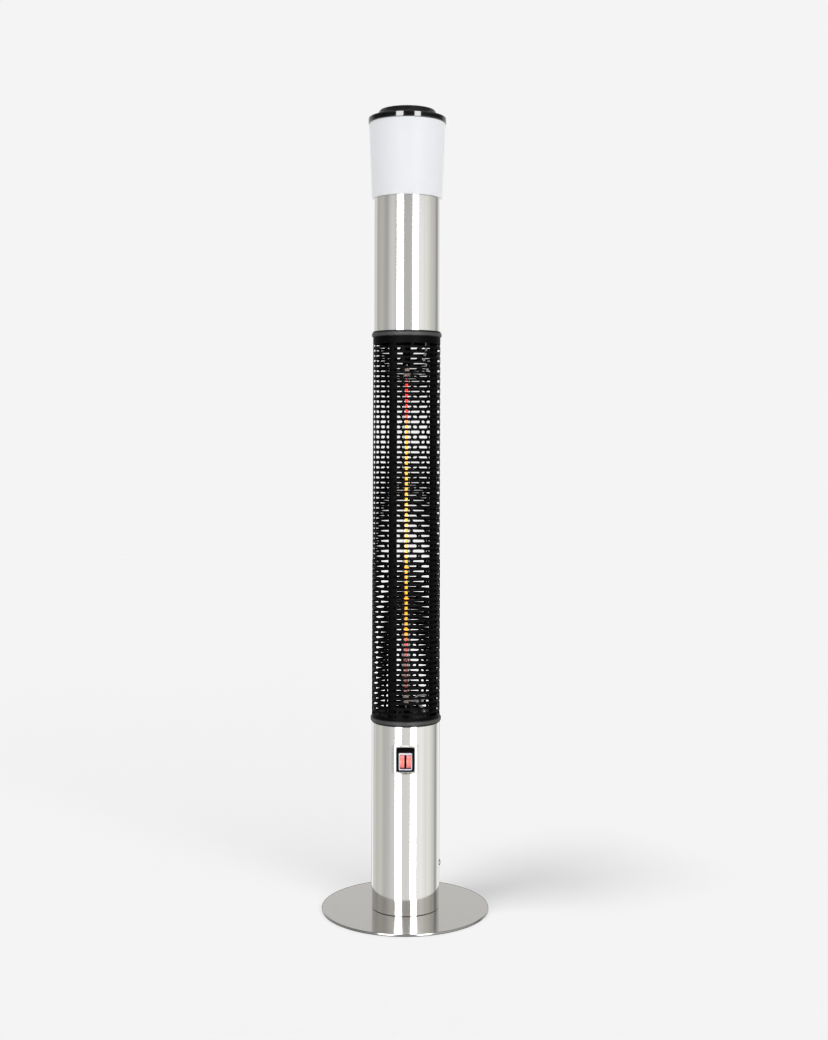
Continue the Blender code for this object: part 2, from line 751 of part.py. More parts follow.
# ---------------------------------------------------------------- rings and bulkheads
def ring_outline(face_z, away):
    """Outline of a ring whose guard side is at face_z; away is -1 where its skirt points down."""
    tube_face = face_z + away * RING_HEIGHT
    inner = RING_BORE - RING_SKIRT_STEP
    skirt = TUBE_RADIUS - TUBE_WALL - GAP
    return [
        (RING_BORE, face_z),
        (RING_RADIUS - RING_EDGE, face_z),
        (RING_RADIUS, face_z + away * RING_EDGE),
        (RING_RADIUS, tube_face - away * RING_EDGE),
        (RING_RADIUS - RING_EDGE, tube_face),
        (skirt, tube_face),
        (skirt, tube_face + away * RING_SKIRT),
        (inner, tube_face + away * RING_SKIRT),
        (inner, tube_face - away * RING_FLOOR),
        (RING_BORE, tube_face - away * RING_FLOOR),
    ]


def make_rings(finish):
    lower_face = LOWER_RING_BOTTOM + RING_HEIGHT
    lower = turned("lower_ring", ring_outline(lower_face, -1), finish)
    upper = turned("upper_ring", ring_outline(UPPER_RING_BOTTOM, 1), finish)
    low_z = LOWER_RING_BOTTOM - COLLAR_SCREW_DROP
    high_z = UPPER_RING_BOTTOM + RING_HEIGHT + COLLAR_SCREW_DROP
    cut(lower, wall_hole("lower_ring_hole", 90, low_z, SCREW_HOLE))
    cut(upper, wall_hole("upper_ring_hole", 90, high_z, SCREW_HOLE))


def make_bulkhead(name, low, high, finish):
    """Disc inside the guard's end, with holes for the posts and the lamp's lead."""
    plate = disc(name, BULKHEAD_RADIUS, low, high, finish)
    for index, angle in enumerate(POST_ANGLES):
        x, y = POST_CIRCLE * cos(radians(angle)), POST_CIRCLE * sin(radians(angle))
        bore = POST_END_RADIUS + GAP
        cut(plate, drill(f"{name}_post_{index}", bore, *BULKHEAD_CUT, upright_at(x, y), BORE_ROUND))
    lead_bore = LEAD_RADIUS + LEAD_CLEARANCE
    cut(plate, drill(f"{name}_lead", lead_bore, *BULKHEAD_CUT, upright_at(*LEAD_HOLE)))


# ---------------------------------------------------------------- guard and posts
def make_guard(finish):
    """Thin cylinder with rows of slots, each row turned half a slot from the next."""
    pitch = (GUARD_SLOT_TO - GUARD_SLOT_FROM) / GUARD_ROWS
    opening = pitch * GUARD_OPEN_SHARE
    levels = [GUARD_BOTTOM]
    for row in range(GUARD_ROWS):
        middle = GUARD_SLOT_FROM + pitch * (row + 0.5)
        levels += [middle - opening / 2, middle + opening / 2]
    levels.append(GUARD_TOP)
    period = 2 * pi / GUARD_SLOTS
    angles = []
    for slot in range(GUARD_SLOTS):
        for centre in (0.0, period / 2):
            angles += [slot * period + centre - GUARD_WEB / 2, slot * period + centre + GUARD_WEB / 2]
    columns = len(angles)

    def solid(level, column):
        if level % 2 == 0:
            return True
        return column % 4 == (0 if (level // 2) % 2 == 0 else 2)

    shape = bmesh.new()
    grid = {}

    def corner(skin, level, column):
        key = (skin, level, column % columns)
        if key not in grid:
            radius = TUBE_RADIUS - GUARD_WALL * skin
            angle = angles[column % columns]
            grid[key] = shape.verts.new((radius * cos(angle), radius * sin(angle), levels[level]))
        return grid[key]

    def wall(edge):
        shape.faces.new([corner(*place) for place in edge])

    bands = len(levels) - 1
    for level in range(bands):
        for column in range(columns):
            if not solid(level, column):
                continue
            for skin in (0, 1):
                wall([
                    (skin, level, column),
                    (skin, level, column + 1),
                    (skin, level + 1, column + 1),
                    (skin, level + 1, column),
                ])
            for step, side in ((-1, column), (1, column + 1)):
                if not solid(level, (column + step) % columns):
                    wall([(0, level, side), (1, level, side), (1, level + 1, side), (0, level + 1, side)])
            for step, height in ((-1, level), (1, level + 1)):
                beyond = level + step
                if beyond < 0 or beyond >= bands or not solid(beyond, column):
                    wall([
                        (0, height, column),
                        (0, height, column + 1),
                        (1, height, column + 1),
                        (1, height, column),
                    ])
    add_object("guard_cage", mesh_of("guard_cage", shape, radians(35)), finish)


def make_posts(post_finish, nut_finish):
    """Hollow tie posts between the bulkheads, each with a nut outside either bulkhead."""
    low = BULKHEAD_LOW_TOP + GAP
    high = BULKHEAD_HIGH_BOTTOM - GAP
    bottom = low - POST_END_LENGTH
    top = high + POST_END_LENGTH
    outline = [
        (POST_BORE, bottom),
        (POST_END_RADIUS, bottom),
        (POST_END_RADIUS, low),
        (POST_RADIUS, low),
        (POST_RADIUS, high),
        (POST_END_RADIUS, high),
        (POST_END_RADIUS, top),
        (POST_BORE, top),
    ]
    bore = POST_END_RADIUS + GAP
    low_nut = (GUARD_BOTTOM - GAP - POST_NUT_HEIGHT, GUARD_BOTTOM - GAP)
    high_nut = (GUARD_TOP + GAP, GUARD_TOP + GAP + POST_NUT_HEIGHT)
    for index, angle in enumerate(POST_ANGLES, 1):
        turn = radians(angle)
        place = upright_at(POST_CIRCLE * cos(turn), POST_CIRCLE * sin(turn), turn)
        turned(f"support_post_{index}", outline, post_finish, SMALL_ROUND, place)
        hex_nut(f"post_nut_lower_{index}", POST_NUT_FLATS, bore, *low_nut, nut_finish, place)
        hex_nut(f"post_nut_upper_{index}", POST_NUT_FLATS, bore, *high_nut, nut_finish, place)


# ---------------------------------------------------------------- quartz lamp
def make_lamp(finishes):
    pipe("quartz_tube", LAMP_RADIUS - LAMP_WALL, LAMP_RADIUS, LAMP_BOTTOM, LAMP_TOP,
         finishes["quartz"], BORE_ROUND)
    filament = [
        (0, LAMP_BOTTOM),
        (FILAMENT_LEAD, LAMP_BOTTOM),
        (FILAMENT_LEAD, FILAMENT_BOTTOM),
        (FILAMENT_RADIUS, FILAMENT_BOTTOM),
        (FILAMENT_RADIUS, FILAMENT_TOP),
        (FILAMENT_LEAD, FILAMENT_TOP),
        (FILAMENT_LEAD, LAMP_TOP),
        (0, LAMP_TOP),
    ]
    turned("heating_element", filament, finishes["filament"], SMALL_ROUND)
    low_end = lamp_end_outline(LAMP_BOTTOM - GAP, LAMP_END_BOTTOM, -1)
    high_end = lamp_end_outline(LAMP_TOP + GAP, LAMP_END_TOP, 1)
    turned("lamp_end_lower", low_end, finishes["ceramic"], SMALL_ROUND)
    turned("lamp_end_upper", high_end, finishes["ceramic"], SMALL_ROUND)
    low_holder = holder_outline(LAMP_END_BOTTOM - GAP, BULKHEAD_LOW_TOP + GAP, -1)
    high_holder = holder_outline(LAMP_END_TOP + GAP, BULKHEAD_HIGH_BOTTOM - GAP, 1)
    turned("lamp_holder_lower", low_holder, finishes["black_steel"], SMALL_ROUND)
    turned("lamp_holder_upper", high_holder, finishes["black_steel"], SMALL_ROUND)


def lamp_end_outline(inside, outside, away):
    """Ceramic end of the lamp with a stud that points away from the lamp."""
    return [
        (0, inside),
        (LAMP_END_RADIUS, inside),
        (LAMP_END_RADIUS, outside),
        (STUD_RADIUS, outside),
        (STUD_RADIUS, outside + away * STUD_LENGTH),
        (0, outside + away * STUD_LENGTH),
    ]


def holder_outline(near, far, away):
    """Flanged holder between a lamp end and a bulkhead, with a socket for the stud."""
    socket = near + away * (STUD_LENGTH + GAP)
    foot = far - away * HOLDER_FOOT_HEIGHT
    return [
        (0, socket),
        (STUD_RADIUS + GAP, socket),
        (STUD_RADIUS + GAP, near),
        (HOLDER_RADIUS, near),
        (HOLDER_RADIUS, foot),
        (HOLDER_FOOT, foot),
        (HOLDER_FOOT, far),
        (0, far),
    ]


def make_lead_wires(sleeve, wire_finish):
    hole_x, hole_y = LEAD_HOLE
    start = LAMP_END_RADIUS + LEAD_CLEARANCE
    low_route = [
        (start, 0.0, 0.3160),
        (0.008, 0.0, 0.3160),
        (0.011, -0.002, 0.3180),
        (0.017, -0.004, 0.3200),
        (0.024, -0.003, 0.3180),
        (0.0285, 0.001, 0.3110),
        (hole_x, hole_y, 0.3020),
        (hole_x, hole_y, 0.2940),
        (hole_x, hole_y, 0.2860),
    ]
    wire("lead_wire_lower", low_route, LEAD_RADIUS, sleeve)
    high_route = [
        (start, 0.0, 0.8080),
        (0.008, 0.0, 0.8080),
        (0.012, -0.003, 0.8110),
        (0.019, -0.005, 0.8130),
        (0.026, -0.003, 0.8160),
        (0.0295, 0.001, 0.8250),
        (hole_x, hole_y, 0.8400),
        (hole_x, hole_y, 0.8600),
        (hole_x, hole_y, 0.8700),
    ]
    wire("lead_wire_upper", high_route, LEAD_RADIUS, sleeve)
    back_x, back_y = POST_CIRCLE * cos(radians(120)), POST_CIRCLE * sin(radians(120))
    return_route = [
        (back_x, back_y, 0.2600),
        (back_x, back_y, 0.4600),
        (back_x, back_y, 0.6600),
        (back_x, back_y, 0.8700),
        (back_x + 0.006, back_y - 0.004, 0.8860),
        (0.006, 0.019, 0.8930),
        (hole_x - 0.004, hole_y + 0.003, 0.8870),
        (hole_x, hole_y, 0.8704),
    ]
    wire("return_wire", return_route, WIRE_RADIUS, wire_finish)
    light_route = [
        (back_x, -back_y, 0.2600),
        (back_x, -back_y, 0.4600),
        (back_x, -back_y, 0.6600),
        (back_x, -back_y, 0.8700),
        (back_x + 0.004, -back_y + 0.006, 0.9100),
        (0.004, -0.012, 0.9700),
        (0.020, 0.000, 1.0200),
        (0.021, 0.000, 1.0452),
    ]
    wire("light_wire", light_route, WIRE_RADIUS, wire_finish)


# ---------------------------------------------------------------- upper tube and lamp top
def make_upper_tube(finish):
    tube = pipe("upper_tube", TUBE_RADIUS - TUBE_WALL, TUBE_RADIUS, UPPER_TUBE_BOTTOM,
                UPPER_TUBE_TOP, finish)
    high_z = UPPER_RING_BOTTOM + RING_HEIGHT + COLLAR_SCREW_DROP
    cut(tube, wall_hole("upper_tube_hole", 90, high_z, SCREW_HOLE))


def make_shade_seat(finish):
    """Pan that closes the upper tube and centres the shade."""
    skirt = TUBE_RADIUS - TUBE_WALL - GAP
    skirt_bottom = UPPER_TUBE_TOP - SEAT_SKIRT_HEIGHT
    outline = [
        (TIE_ROD_RADIUS + GAP, SHADE_BOTTOM),
        (skirt - SEAT_SKIRT_WALL, SHADE_BOTTOM),
        (skirt - SEAT_SKIRT_WALL, skirt_bottom),
        (skirt, skirt_bottom),
        (skirt, SHADE_BOTTOM),
        (SEAT_RADIUS, SHADE_BOTTOM + 0.0003),
        (SEAT_RADIUS, SHADE_BOTTOM + SEAT_THICKNESS),
        (TIE_ROD_RADIUS + GAP, SHADE_BOTTOM + SEAT_THICKNESS),
    ]
    turned("shade_seat", outline, finish)


def make_led_board(finish):
    low = SHADE_BOTTOM + SEAT_THICKNESS + GAP
    bore = TIE_ROD_RADIUS + 0.001
    pipe("led_board", bore, LED_BOARD_RADIUS, low, low + LED_BOARD_THICKNESS, finish)


def make_led_driver(finish):
    length, width, height = LED_DRIVER_SIZE
    top = SHADE_BOTTOM - GAP
    near = (LED_DRIVER_X, -width / 2, top - height)
    far = (LED_DRIVER_X + length, width / 2, top)
    block("led_driver", near, far, finish, 0.001)


def make_tie_rod(rod_finish, nut_finish):
    disc("tie_rod", TIE_ROD_RADIUS, TIE_ROD_BOTTOM, TIE_ROD_TOP, rod_finish, SMALL_ROUND)
    top = SHADE_BOTTOM - GAP
    bottom = top - TIE_NUT_HEIGHT
    bore = TIE_ROD_RADIUS + GAP
    hex_nut("tie_rod_nut", TIE_NUT_FLATS, bore, bottom, top, nut_finish, upright_at(0, 0))


def make_lamp_shade(finish):
    """Open frosted tube that widens upwards."""
    outline = [
        (SHADE_BOTTOM_RADIUS - SHADE_WALL, SHADE_BOTTOM),
        (SHADE_BOTTOM_RADIUS - 0.0005, SHADE_BOTTOM),
        (SHADE_BOTTOM_RADIUS, SHADE_BOTTOM + 0.0006),
        (SHADE_TOP_RADIUS, SHADE_TOP),
        (SHADE_TOP_RADIUS - SHADE_WALL, SHADE_TOP),
    ]
    turned("lamp_shade", outline, finish)


def make_top_cap(finish):
    """Stepped cap, hollow beneath, with a lip inside the shade and a boss for the tie rod."""
    lip = SHADE_TOP_RADIUS - SHADE_WALL - GAP
    lip_bottom = CAP_BOTTOM - CAP_LIP_DEPTH
    bore = TIE_ROD_RADIUS + GAP
    bore_top = TIE_ROD_TOP + GAP
    boss_bottom = CAP_BOTTOM + CAP_WALL
    outline = [
        (0, CAP_TOP),
        (CAP_DISC_RADIUS - 0.0012, CAP_TOP),
        (CAP_DISC_RADIUS, CAP_TOP - 0.0012),
        (CAP_DISC_RADIUS + 0.0008, CAP_TOP - 0.0075),
        (CAP_DISC_RADIUS + 0.0030, CAP_TOP - 0.0088),
        (CAP_RADIUS - 0.0012, CAP_BOTTOM + 0.0080),
        (CAP_RADIUS, CAP_BOTTOM + 0.0066),
        (CAP_RADIUS, CAP_BOTTOM + 0.0006),
        (CAP_RADIUS - 0.0006, CAP_BOTTOM),
        (lip, CAP_BOTTOM),
        (lip, lip_bottom),
        (lip - CAP_WALL, lip_bottom),
        (lip - CAP_WALL, CAP_BOTTOM + 0.0050),
        (CAP_DISC_RADIUS - CAP_WALL, CAP_BOTTOM + 0.0070),
        (CAP_DISC_RADIUS - CAP_WALL, CAP_TOP - CAP_WALL),
        (CAP_BOSS_RADIUS, CAP_TOP - CAP_WALL),
        (CAP_BOSS_RADIUS, boss_bottom),
        (bore, boss_bottom),
        (bore, bore_top),
        (0, bore_top),
    ]
    turned("top_cap", outline, finish)


# ---------------------------------------------------------------- the whole heater
def make_heater():
    clear_scene()
    finish = make_materials()
    make_base_plate(finish["steel"])
    make_base_pads(finish["rubber"])
    make_base_socket(finish["zinc"])
    make_base_screws(finish["zinc"])
    make_lower_tube(finish["steel"])
    make_wall_screw("side_screw", 0, SIDE_SCREW_Z, finish["zinc"])
    make_wall_screw("rear_screw", 90, SIDE_SCREW_Z, finish["zinc"])
    make_cable_gland(finish["plastic"])
    make_switch_frame(finish["plastic"])
    make_switch_seal(finish["seal"])
    make_switch_housing(finish["plastic"])
    make_rocker("rocker_left", -ROCKER_OFFSET, finish["rocker"])
    make_rocker("rocker_right", ROCKER_OFFSET, finish["rocker"])
    make_rocker_pin(finish["brass"])
    make_wiring_bracket(finish["zinc"])
    make_terminal_block(finish["block"])
    make_tip_over_switch(finish["plastic"])
    make_switch_wire(finish["wire"])
    make_rings(finish["ring"])
    low_z = LOWER_RING_BOTTOM - COLLAR_SCREW_DROP
    high_z = UPPER_RING_BOTTOM + RING_HEIGHT + COLLAR_SCREW_DROP
    make_wall_screw("collar_screw_lower", 90, low_z, finish["zinc"])
    make_wall_screw("collar_screw_upper", 90, high_z, finish["zinc"])
    make_bulkhead("lower_bulkhead", GUARD_BOTTOM, BULKHEAD_LOW_TOP, finish["black_steel"])
    make_bulkhead("upper_bulkhead", BULKHEAD_HIGH_BOTTOM, GUARD_TOP, finish["black_steel"])
    make_guard(finish["black_steel"])
    make_posts(finish["black_steel"], finish["zinc"])
    make_lamp(finish)
    make_lead_wires(finish["sleeve"], finish["wire"])
    make_upper_tube(finish["steel"])
    make_shade_seat(finish["zinc"])
    make_led_board(finish["board"])
    make_led_driver(finish["driver"])
    make_tie_rod(finish["zinc"], finish["zinc"])
    make_lamp_shade(finish["shade"])
    make_top_cap(finish["cap"])


make_heater()
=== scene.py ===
import json
from math import atan2, cos, pi, radians, sin, tan

import bmesh
import bpy
from mathutils import Matrix, Vector


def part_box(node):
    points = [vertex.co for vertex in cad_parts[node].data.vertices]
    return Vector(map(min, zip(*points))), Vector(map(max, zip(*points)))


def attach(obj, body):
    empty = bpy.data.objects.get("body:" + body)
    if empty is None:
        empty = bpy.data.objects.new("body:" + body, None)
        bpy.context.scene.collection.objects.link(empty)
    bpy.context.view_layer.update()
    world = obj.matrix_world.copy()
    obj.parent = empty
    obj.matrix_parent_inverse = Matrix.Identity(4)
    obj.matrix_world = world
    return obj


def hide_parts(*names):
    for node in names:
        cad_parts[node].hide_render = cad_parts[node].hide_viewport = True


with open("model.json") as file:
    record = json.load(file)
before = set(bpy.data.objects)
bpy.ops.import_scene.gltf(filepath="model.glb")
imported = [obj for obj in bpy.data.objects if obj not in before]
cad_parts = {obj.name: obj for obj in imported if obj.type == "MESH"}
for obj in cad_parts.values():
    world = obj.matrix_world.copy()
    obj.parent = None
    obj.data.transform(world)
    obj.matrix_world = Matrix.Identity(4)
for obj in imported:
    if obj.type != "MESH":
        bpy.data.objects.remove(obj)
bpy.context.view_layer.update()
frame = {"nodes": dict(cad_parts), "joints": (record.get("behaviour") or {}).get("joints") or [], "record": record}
NODES = frame["nodes"]
ROOT = "heater"
MM = 0.001
GAP = 0.3 * MM                             # clearance between pieces that touch


# ---- measures read from the frame
def low(node):
    return Vector(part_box(node)[0])


def high(node):
    return Vector(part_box(node)[1])


def heights_of(node):
    return low(node).z, high(node).z


def middle_of(node):
    return (low(node) + high(node)) / 2


def radius_of(node):
    return (high(node).x - low(node).x) / 2


TUBE_R = radius_of("lower_tube")
TUBE_WALL = 1.2 * MM
TUBE_EDGE = 0.45 * MM                      # rounding of the tubes' cut ends
RING_R = radius_of("lower_ring")
RING_LIP_R = TUBE_R + 0.5 * MM
POST_R = 5.75 * MM
POST_CIRCLE = high("support_post_1").x - POST_R
FRAME_LOW = low("switch_frame")
FRAME_HIGH = high("switch_frame")
SEAL_LOW = low("switch_seal")
SEAL_HIGH = high("switch_seal")
SWITCH_PIVOT = Vector(frame["joints"][0]["pos_m"])
SWITCH_PIVOT.x = 0.0
ROCKER_TILT = radians(8)
FLAT_Y = FRAME_HIGH.y + GAP          # the tube's flattened patch behind the switch frame
WINDOW_X = SEAL_HIGH.x + GAP
WINDOW_LOW = SEAL_LOW.z - GAP
WINDOW_HIGH = SEAL_HIGH.z + GAP


# ---- node materials
def colour_ramp(nodes, stops):
    """A ColorRamp node with stops of (position, (r, g, b))."""
    ramp = nodes.new("ShaderNodeValToRGB")
    elements = ramp.color_ramp.elements
    while len(elements) < len(stops):
        elements.new(0.5)
    for element, (position, colour) in zip(elements, stops):
        element.position = position
        element.color = (*colour, 1.0)
    return ramp


class Finish:
    """A Principled material with helpers for the procedural detail that varies over its surface."""

    def __init__(self, name, colour, roughness, metallic=0.0, **uniform):
        self.material = bpy.data.materials.new(name)
        self.material.use_nodes = True
        self.tree = self.material.node_tree
        self.shader = self.tree.nodes["Principled BSDF"]
        self.colour = colour
        self.shader.inputs["Base Color"].default_value = (*colour, 1.0)
        self.shader.inputs["Roughness"].default_value = roughness
        self.shader.inputs["Metallic"].default_value = metallic
        for socket, value in uniform.items():
            self.shader.inputs[socket.replace("_", " ")].default_value = value

    def node(self, kind, **values):
        made = self.tree.nodes.new(kind)
        for key, value in values.items():
            if hasattr(made, key):
                setattr(made, key, value)
            else:
                made.inputs[key.replace("_", " ")].default_value = value
        return made

    def link(self, source, target):
        self.tree.links.new(source, target)

    def place(self, scale):
        """Object coordinates, which are metres here, stretched by scale."""
        where = self.node("ShaderNodeTexCoord")
        mapping = self.node("ShaderNodeMapping")
        mapping.inputs["Scale"].default_value = scale
        self.link(where.outputs["Object"], mapping.inputs["Vector"])
        return mapping.outputs["Vector"]

    def noise(self, scale, detail=3.0, roughness=0.55):
        texture = self.node("ShaderNodeTexNoise", Scale=1.0, Detail=detail, Roughness=roughness)
        self.link(self.place(scale), texture.inputs["Vector"])
        return texture.outputs["Fac"]

    def from_axis(self, start, end):
        """0 nearer to the column's axis than start, 1 farther from it than end."""
        flat = self.node("ShaderNodeVectorMath", operation="MULTIPLY")
        flat.inputs[1].default_value = (1, 1, 0)
        self.link(self.place((1, 1, 1)), flat.inputs[0])
        length = self.node("ShaderNodeVectorMath", operation="LENGTH")
        self.link(flat.outputs["Vector"], length.inputs[0])
        return self.spread(length.outputs["Value"], 0.0, 1.0, start, end)

    def spread(self, source, lowest, highest, start=0.3, end=0.7):
        """The source's middle range spread over lowest to highest."""
        ranged = self.node("ShaderNodeMapRange")
        for socket, value in zip(("From Min", "From Max", "To Min", "To Max"),
                                 (start, end, lowest, highest)):
            ranged.inputs[socket].default_value = value
        self.link(source, ranged.inputs["Value"])
        return ranged.outputs["Result"]

    def blend_colour(self, source, first, second):
        mix = self.node("ShaderNodeMix", data_type="RGBA")
        colours = [socket for socket in mix.inputs if socket.type == "RGBA"]
        colours[0].default_value = (*first, 1.0)
        colours[1].default_value = (*second, 1.0)
        factor = [socket for socket in mix.inputs if socket.type == "VALUE"][0]
        self.link(source, factor)
        result = [socket for socket in mix.outputs if socket.type == "RGBA"][0]
        self.link(result, self.shader.inputs["Base Color"])

    def tint(self, source, change):
        """Base colour between darker and lighter by change, following the source."""
        darker = [part * (1 - change) for part in self.colour]
        lighter = [min(1.0, part * (1 + change)) for part in self.colour]
        self.blend_colour(self.spread(source, 0.0, 1.0), darker, lighter)

    def roughen(self, source, lowest, highest):
        self.link(self.spread(source, lowest, highest), self.shader.inputs["Roughness"])

    def bump(self, source, strength, distance=0.0002):
        node = self.node("ShaderNodeBump", Strength=strength, Distance=distance)
        self.link(source, node.inputs["Height"])
        self.link(node.outputs["Normal"], self.shader.inputs["Normal"])

    def glow_along(self, node, zones):
        """Emission colour by share of a node's height, from zones of (share, (r, g, b))."""
        split = self.node("ShaderNodeSeparateXYZ")
        self.link(self.place((1, 1, 1)), split.inputs["Vector"])
        share = self.spread(split.outputs["Z"], 0.0, 1.0, *heights_of(node))
        ramp = colour_ramp(self.tree.nodes, zones)
        self.link(share, ramp.inputs["Fac"])
        self.link(ramp.outputs["Color"], self.shader.inputs["Emission Color"])

    def turned_grain(self, strength):
        """Highlights stretched along Z, as on a tube polished round its axis."""
        tangent = self.node("ShaderNodeTangent", direction_type="RADIAL", axis="Z")
        self.link(tangent.outputs["Tangent"], self.shader.inputs["Tangent"])
        self.shader.inputs["Anisotropic"].default_value = strength
        self.shader.inputs["Anisotropic Rotation"].default_value = 0.25


def tube_steel():
    """Stainless tube with fine streaks along its length and a faint uneven polish."""
    made = Finish("brushed_tube_steel", (0.66, 0.65, 0.63), 0.08, 1.0)
    streaks = made.noise((1500, 1500, 3.5), 2.0, 0.6)
    broad = made.noise((160, 160, 1.2), 3.0, 0.5)
    made.tint(broad, 0.06)
    made.roughen(streaks, 0.045, 0.10)
    made.bump(streaks, 0.02, 0.00002)
    made.turned_grain(0.5)
    return made.material


def plate_steel():
    """Stainless plate with straight grain from side to side, and painted shade darkening its cut edge."""
    made = Finish("brushed_plate_steel", (0.60, 0.58, 0.56), 0.16, 1.0)
    grain = made.noise((8, 1600, 1600), 2.0, 0.6)
    rim = radius_of("base_plate")
    # Painted shade: the colour darkens over the outer half millimetre of the radius, so the edge face looks
    # shaded.
    edge = made.from_axis(rim - 0.5 * MM, rim - 0.3 * MM)
    made.blend_colour(edge, made.colour, (0.26, 0.255, 0.25))
    made.roughen(grain, 0.10, 0.20)
    made.bump(grain, 0.08, 0.00003)
    return made.material


def ring_coating():
    """Satin grey paint on the raised middle; the lower lips on both sides of it are coloured near-black as painted
    shade in the seams next to guard and tube.
    """
    made = Finish("grey_ring_coating", (0.060, 0.060, 0.062), 0.48, Specular_IOR_Level=0.25)
    fine = made.noise((2600, 2600, 2600), 2.0)
    # Painted shade: near black inside RING_LIP_R plus a little stands in for the shade in the seams at both lips.
    lip = made.from_axis(RING_LIP_R + 0.1 * MM, RING_LIP_R + 0.4 * MM)
    made.blend_colour(lip, (0.002, 0.002, 0.002), made.colour)
    made.roughen(fine, 0.42, 0.56)
    made.bump(fine, 0.18, 0.00006)
    return made.material


def zinc_steel():
    made = Finish("zinc_plated_steel", (0.56, 0.57, 0.59), 0.35, 1.0)
    patches = made.noise((260, 260, 260), 4.0)
    made.tint(patches, 0.10)
    made.roughen(patches, 0.26, 0.44)
    made.bump(patches, 0.12, 0.00005)
    return made.material


def coated(name, colour, lowest, highest, grain=2600, strength=0.18, **uniform):
    """Painted or moulded surface with a fine even grain and slightly uneven gloss."""
    made = Finish(name, colour, (lowest + highest) / 2, 0.0, **uniform)
    fine = made.noise((grain, grain, grain), 2.0)
    broad = made.noise((45, 45, 45), 3.0)
    made.tint(broad, 0.12)
    made.roughen(broad, lowest, highest)
    made.bump(fine, strength, 0.00006)
    return made.material


def sleeve_fibre():
    """White glass-fibre yarn with faint dark gaps between its strands."""
    made = Finish("glass_fibre_yarn", (0.88, 0.87, 0.84), 0.75, Sheen_Weight=0.3)
    strands = made.noise((2600, 2600, 5200), 3.0)
    made.tint(strands, 0.12)
    made.bump(strands, 0.5, 0.0001)
    return made.material


def clear_quartz():
    made = Finish("clear_quartz", (1.0, 1.0, 1.0), 0.03, Transmission_Weight=1.0, IOR=1.20)
    haze = made.noise((90, 90, 14), 3.0)
    made.roughen(haze, 0.02, 0.07)
    return made.material


def clear_silicone():
    """Milky clear silicone round the rockers, with a faint lilac emission as painted light that makes it look
    pale.
    """
    made = Finish("clear_silicone", (0.80, 0.80, 0.90), 0.30, Emission_Strength=0.22,
                  Subsurface_Weight=0.4, Subsurface_Scale=0.002)
    # Painted light: this emission brightens the seal, and no lamp lights it.
    made.shader.inputs["Emission Color"].default_value = (0.85, 0.82, 1.0, 1.0)
    cloud = made.noise((400, 400, 400), 3.0)
    made.tint(cloud, 0.06)
    made.roughen(cloud, 0.22, 0.40)
    return made.material


def glowing_coil():
    """Coil that glows red at the top and yellow-orange for most of its length, dull at the foot."""
    made = Finish("glowing_coil", (0.25, 0.05, 0.02), 0.55, Emission_Strength=2.2)
    made.glow_along("heating_element", (
        (0.0, (0.06, 0.006, 0.004)),
        (0.115, (0.09, 0.006, 0.005)),
        (0.135, (0.34, 0.006, 0.010)),
        (0.172, (0.48, 0.015, 0.012)),
        (0.190, (1.0, 0.36, 0.02)),
        (0.50, (1.0, 0.47, 0.04)),
        (0.855, (1.0, 0.38, 0.02)),
        (0.880, (0.92, 0.03, 0.03)),
        (0.980, (0.80, 0.02, 0.02)),
        (1.0, (0.15, 0.03, 0.02)),
    ))
    return made.material


def lit_rocker():
    """Translucent red rocker lit from inside by its lamp, with a painted highlight band near its top and painted
    shade at its bottom and top ends.
    """
    made = Finish("lit_rocker", (0.50, 0.09, 0.07), 0.25, Emission_Strength=0.64,
                  Coat_Weight=0.3, Coat_Roughness=0.12)
    # The middle glow is the rocker's lamp. The dark stops at both ends are painted shade, and the pale stop near
    # the top is a painted highlight.
    made.glow_along("rocker_left", (
        (0.0, (0.06, 0.008, 0.010)),
        (0.10, (0.12, 0.015, 0.018)),
        (0.16, (0.80, 0.17, 0.19)),
        (0.50, (0.95, 0.32, 0.24)),
        (0.76, (0.80, 0.20, 0.19)),
        (0.87, (1.0, 0.52, 0.50)),
        (0.95, (0.60, 0.12, 0.16)),
        (1.0, (0.10, 0.015, 0.02)),
    ))
    cloud = made.noise((500, 500, 500), 2.0)
    made.tint(cloud, 0.08)
    return made.material


def frosted_shade():
    """Opal plastic, evenly lit from inside, with a fine frosted skin."""
    made = Finish("frosted_opal", (0.45, 0.455, 0.465), 0.50, Emission_Strength=0.40,
                  Specular_IOR_Level=0.15)
    made.shader.inputs["Emission Color"].default_value = (0.95, 0.96, 1.0, 1.0)
    fine = made.noise((3200, 3200, 3200), 2.0)
    broad = made.noise((25, 25, 25), 2.0)
    made.tint(broad, 0.02)
    made.roughen(broad, 0.44, 0.56)
    made.bump(fine, 0.08, 0.00004)
    return made.material


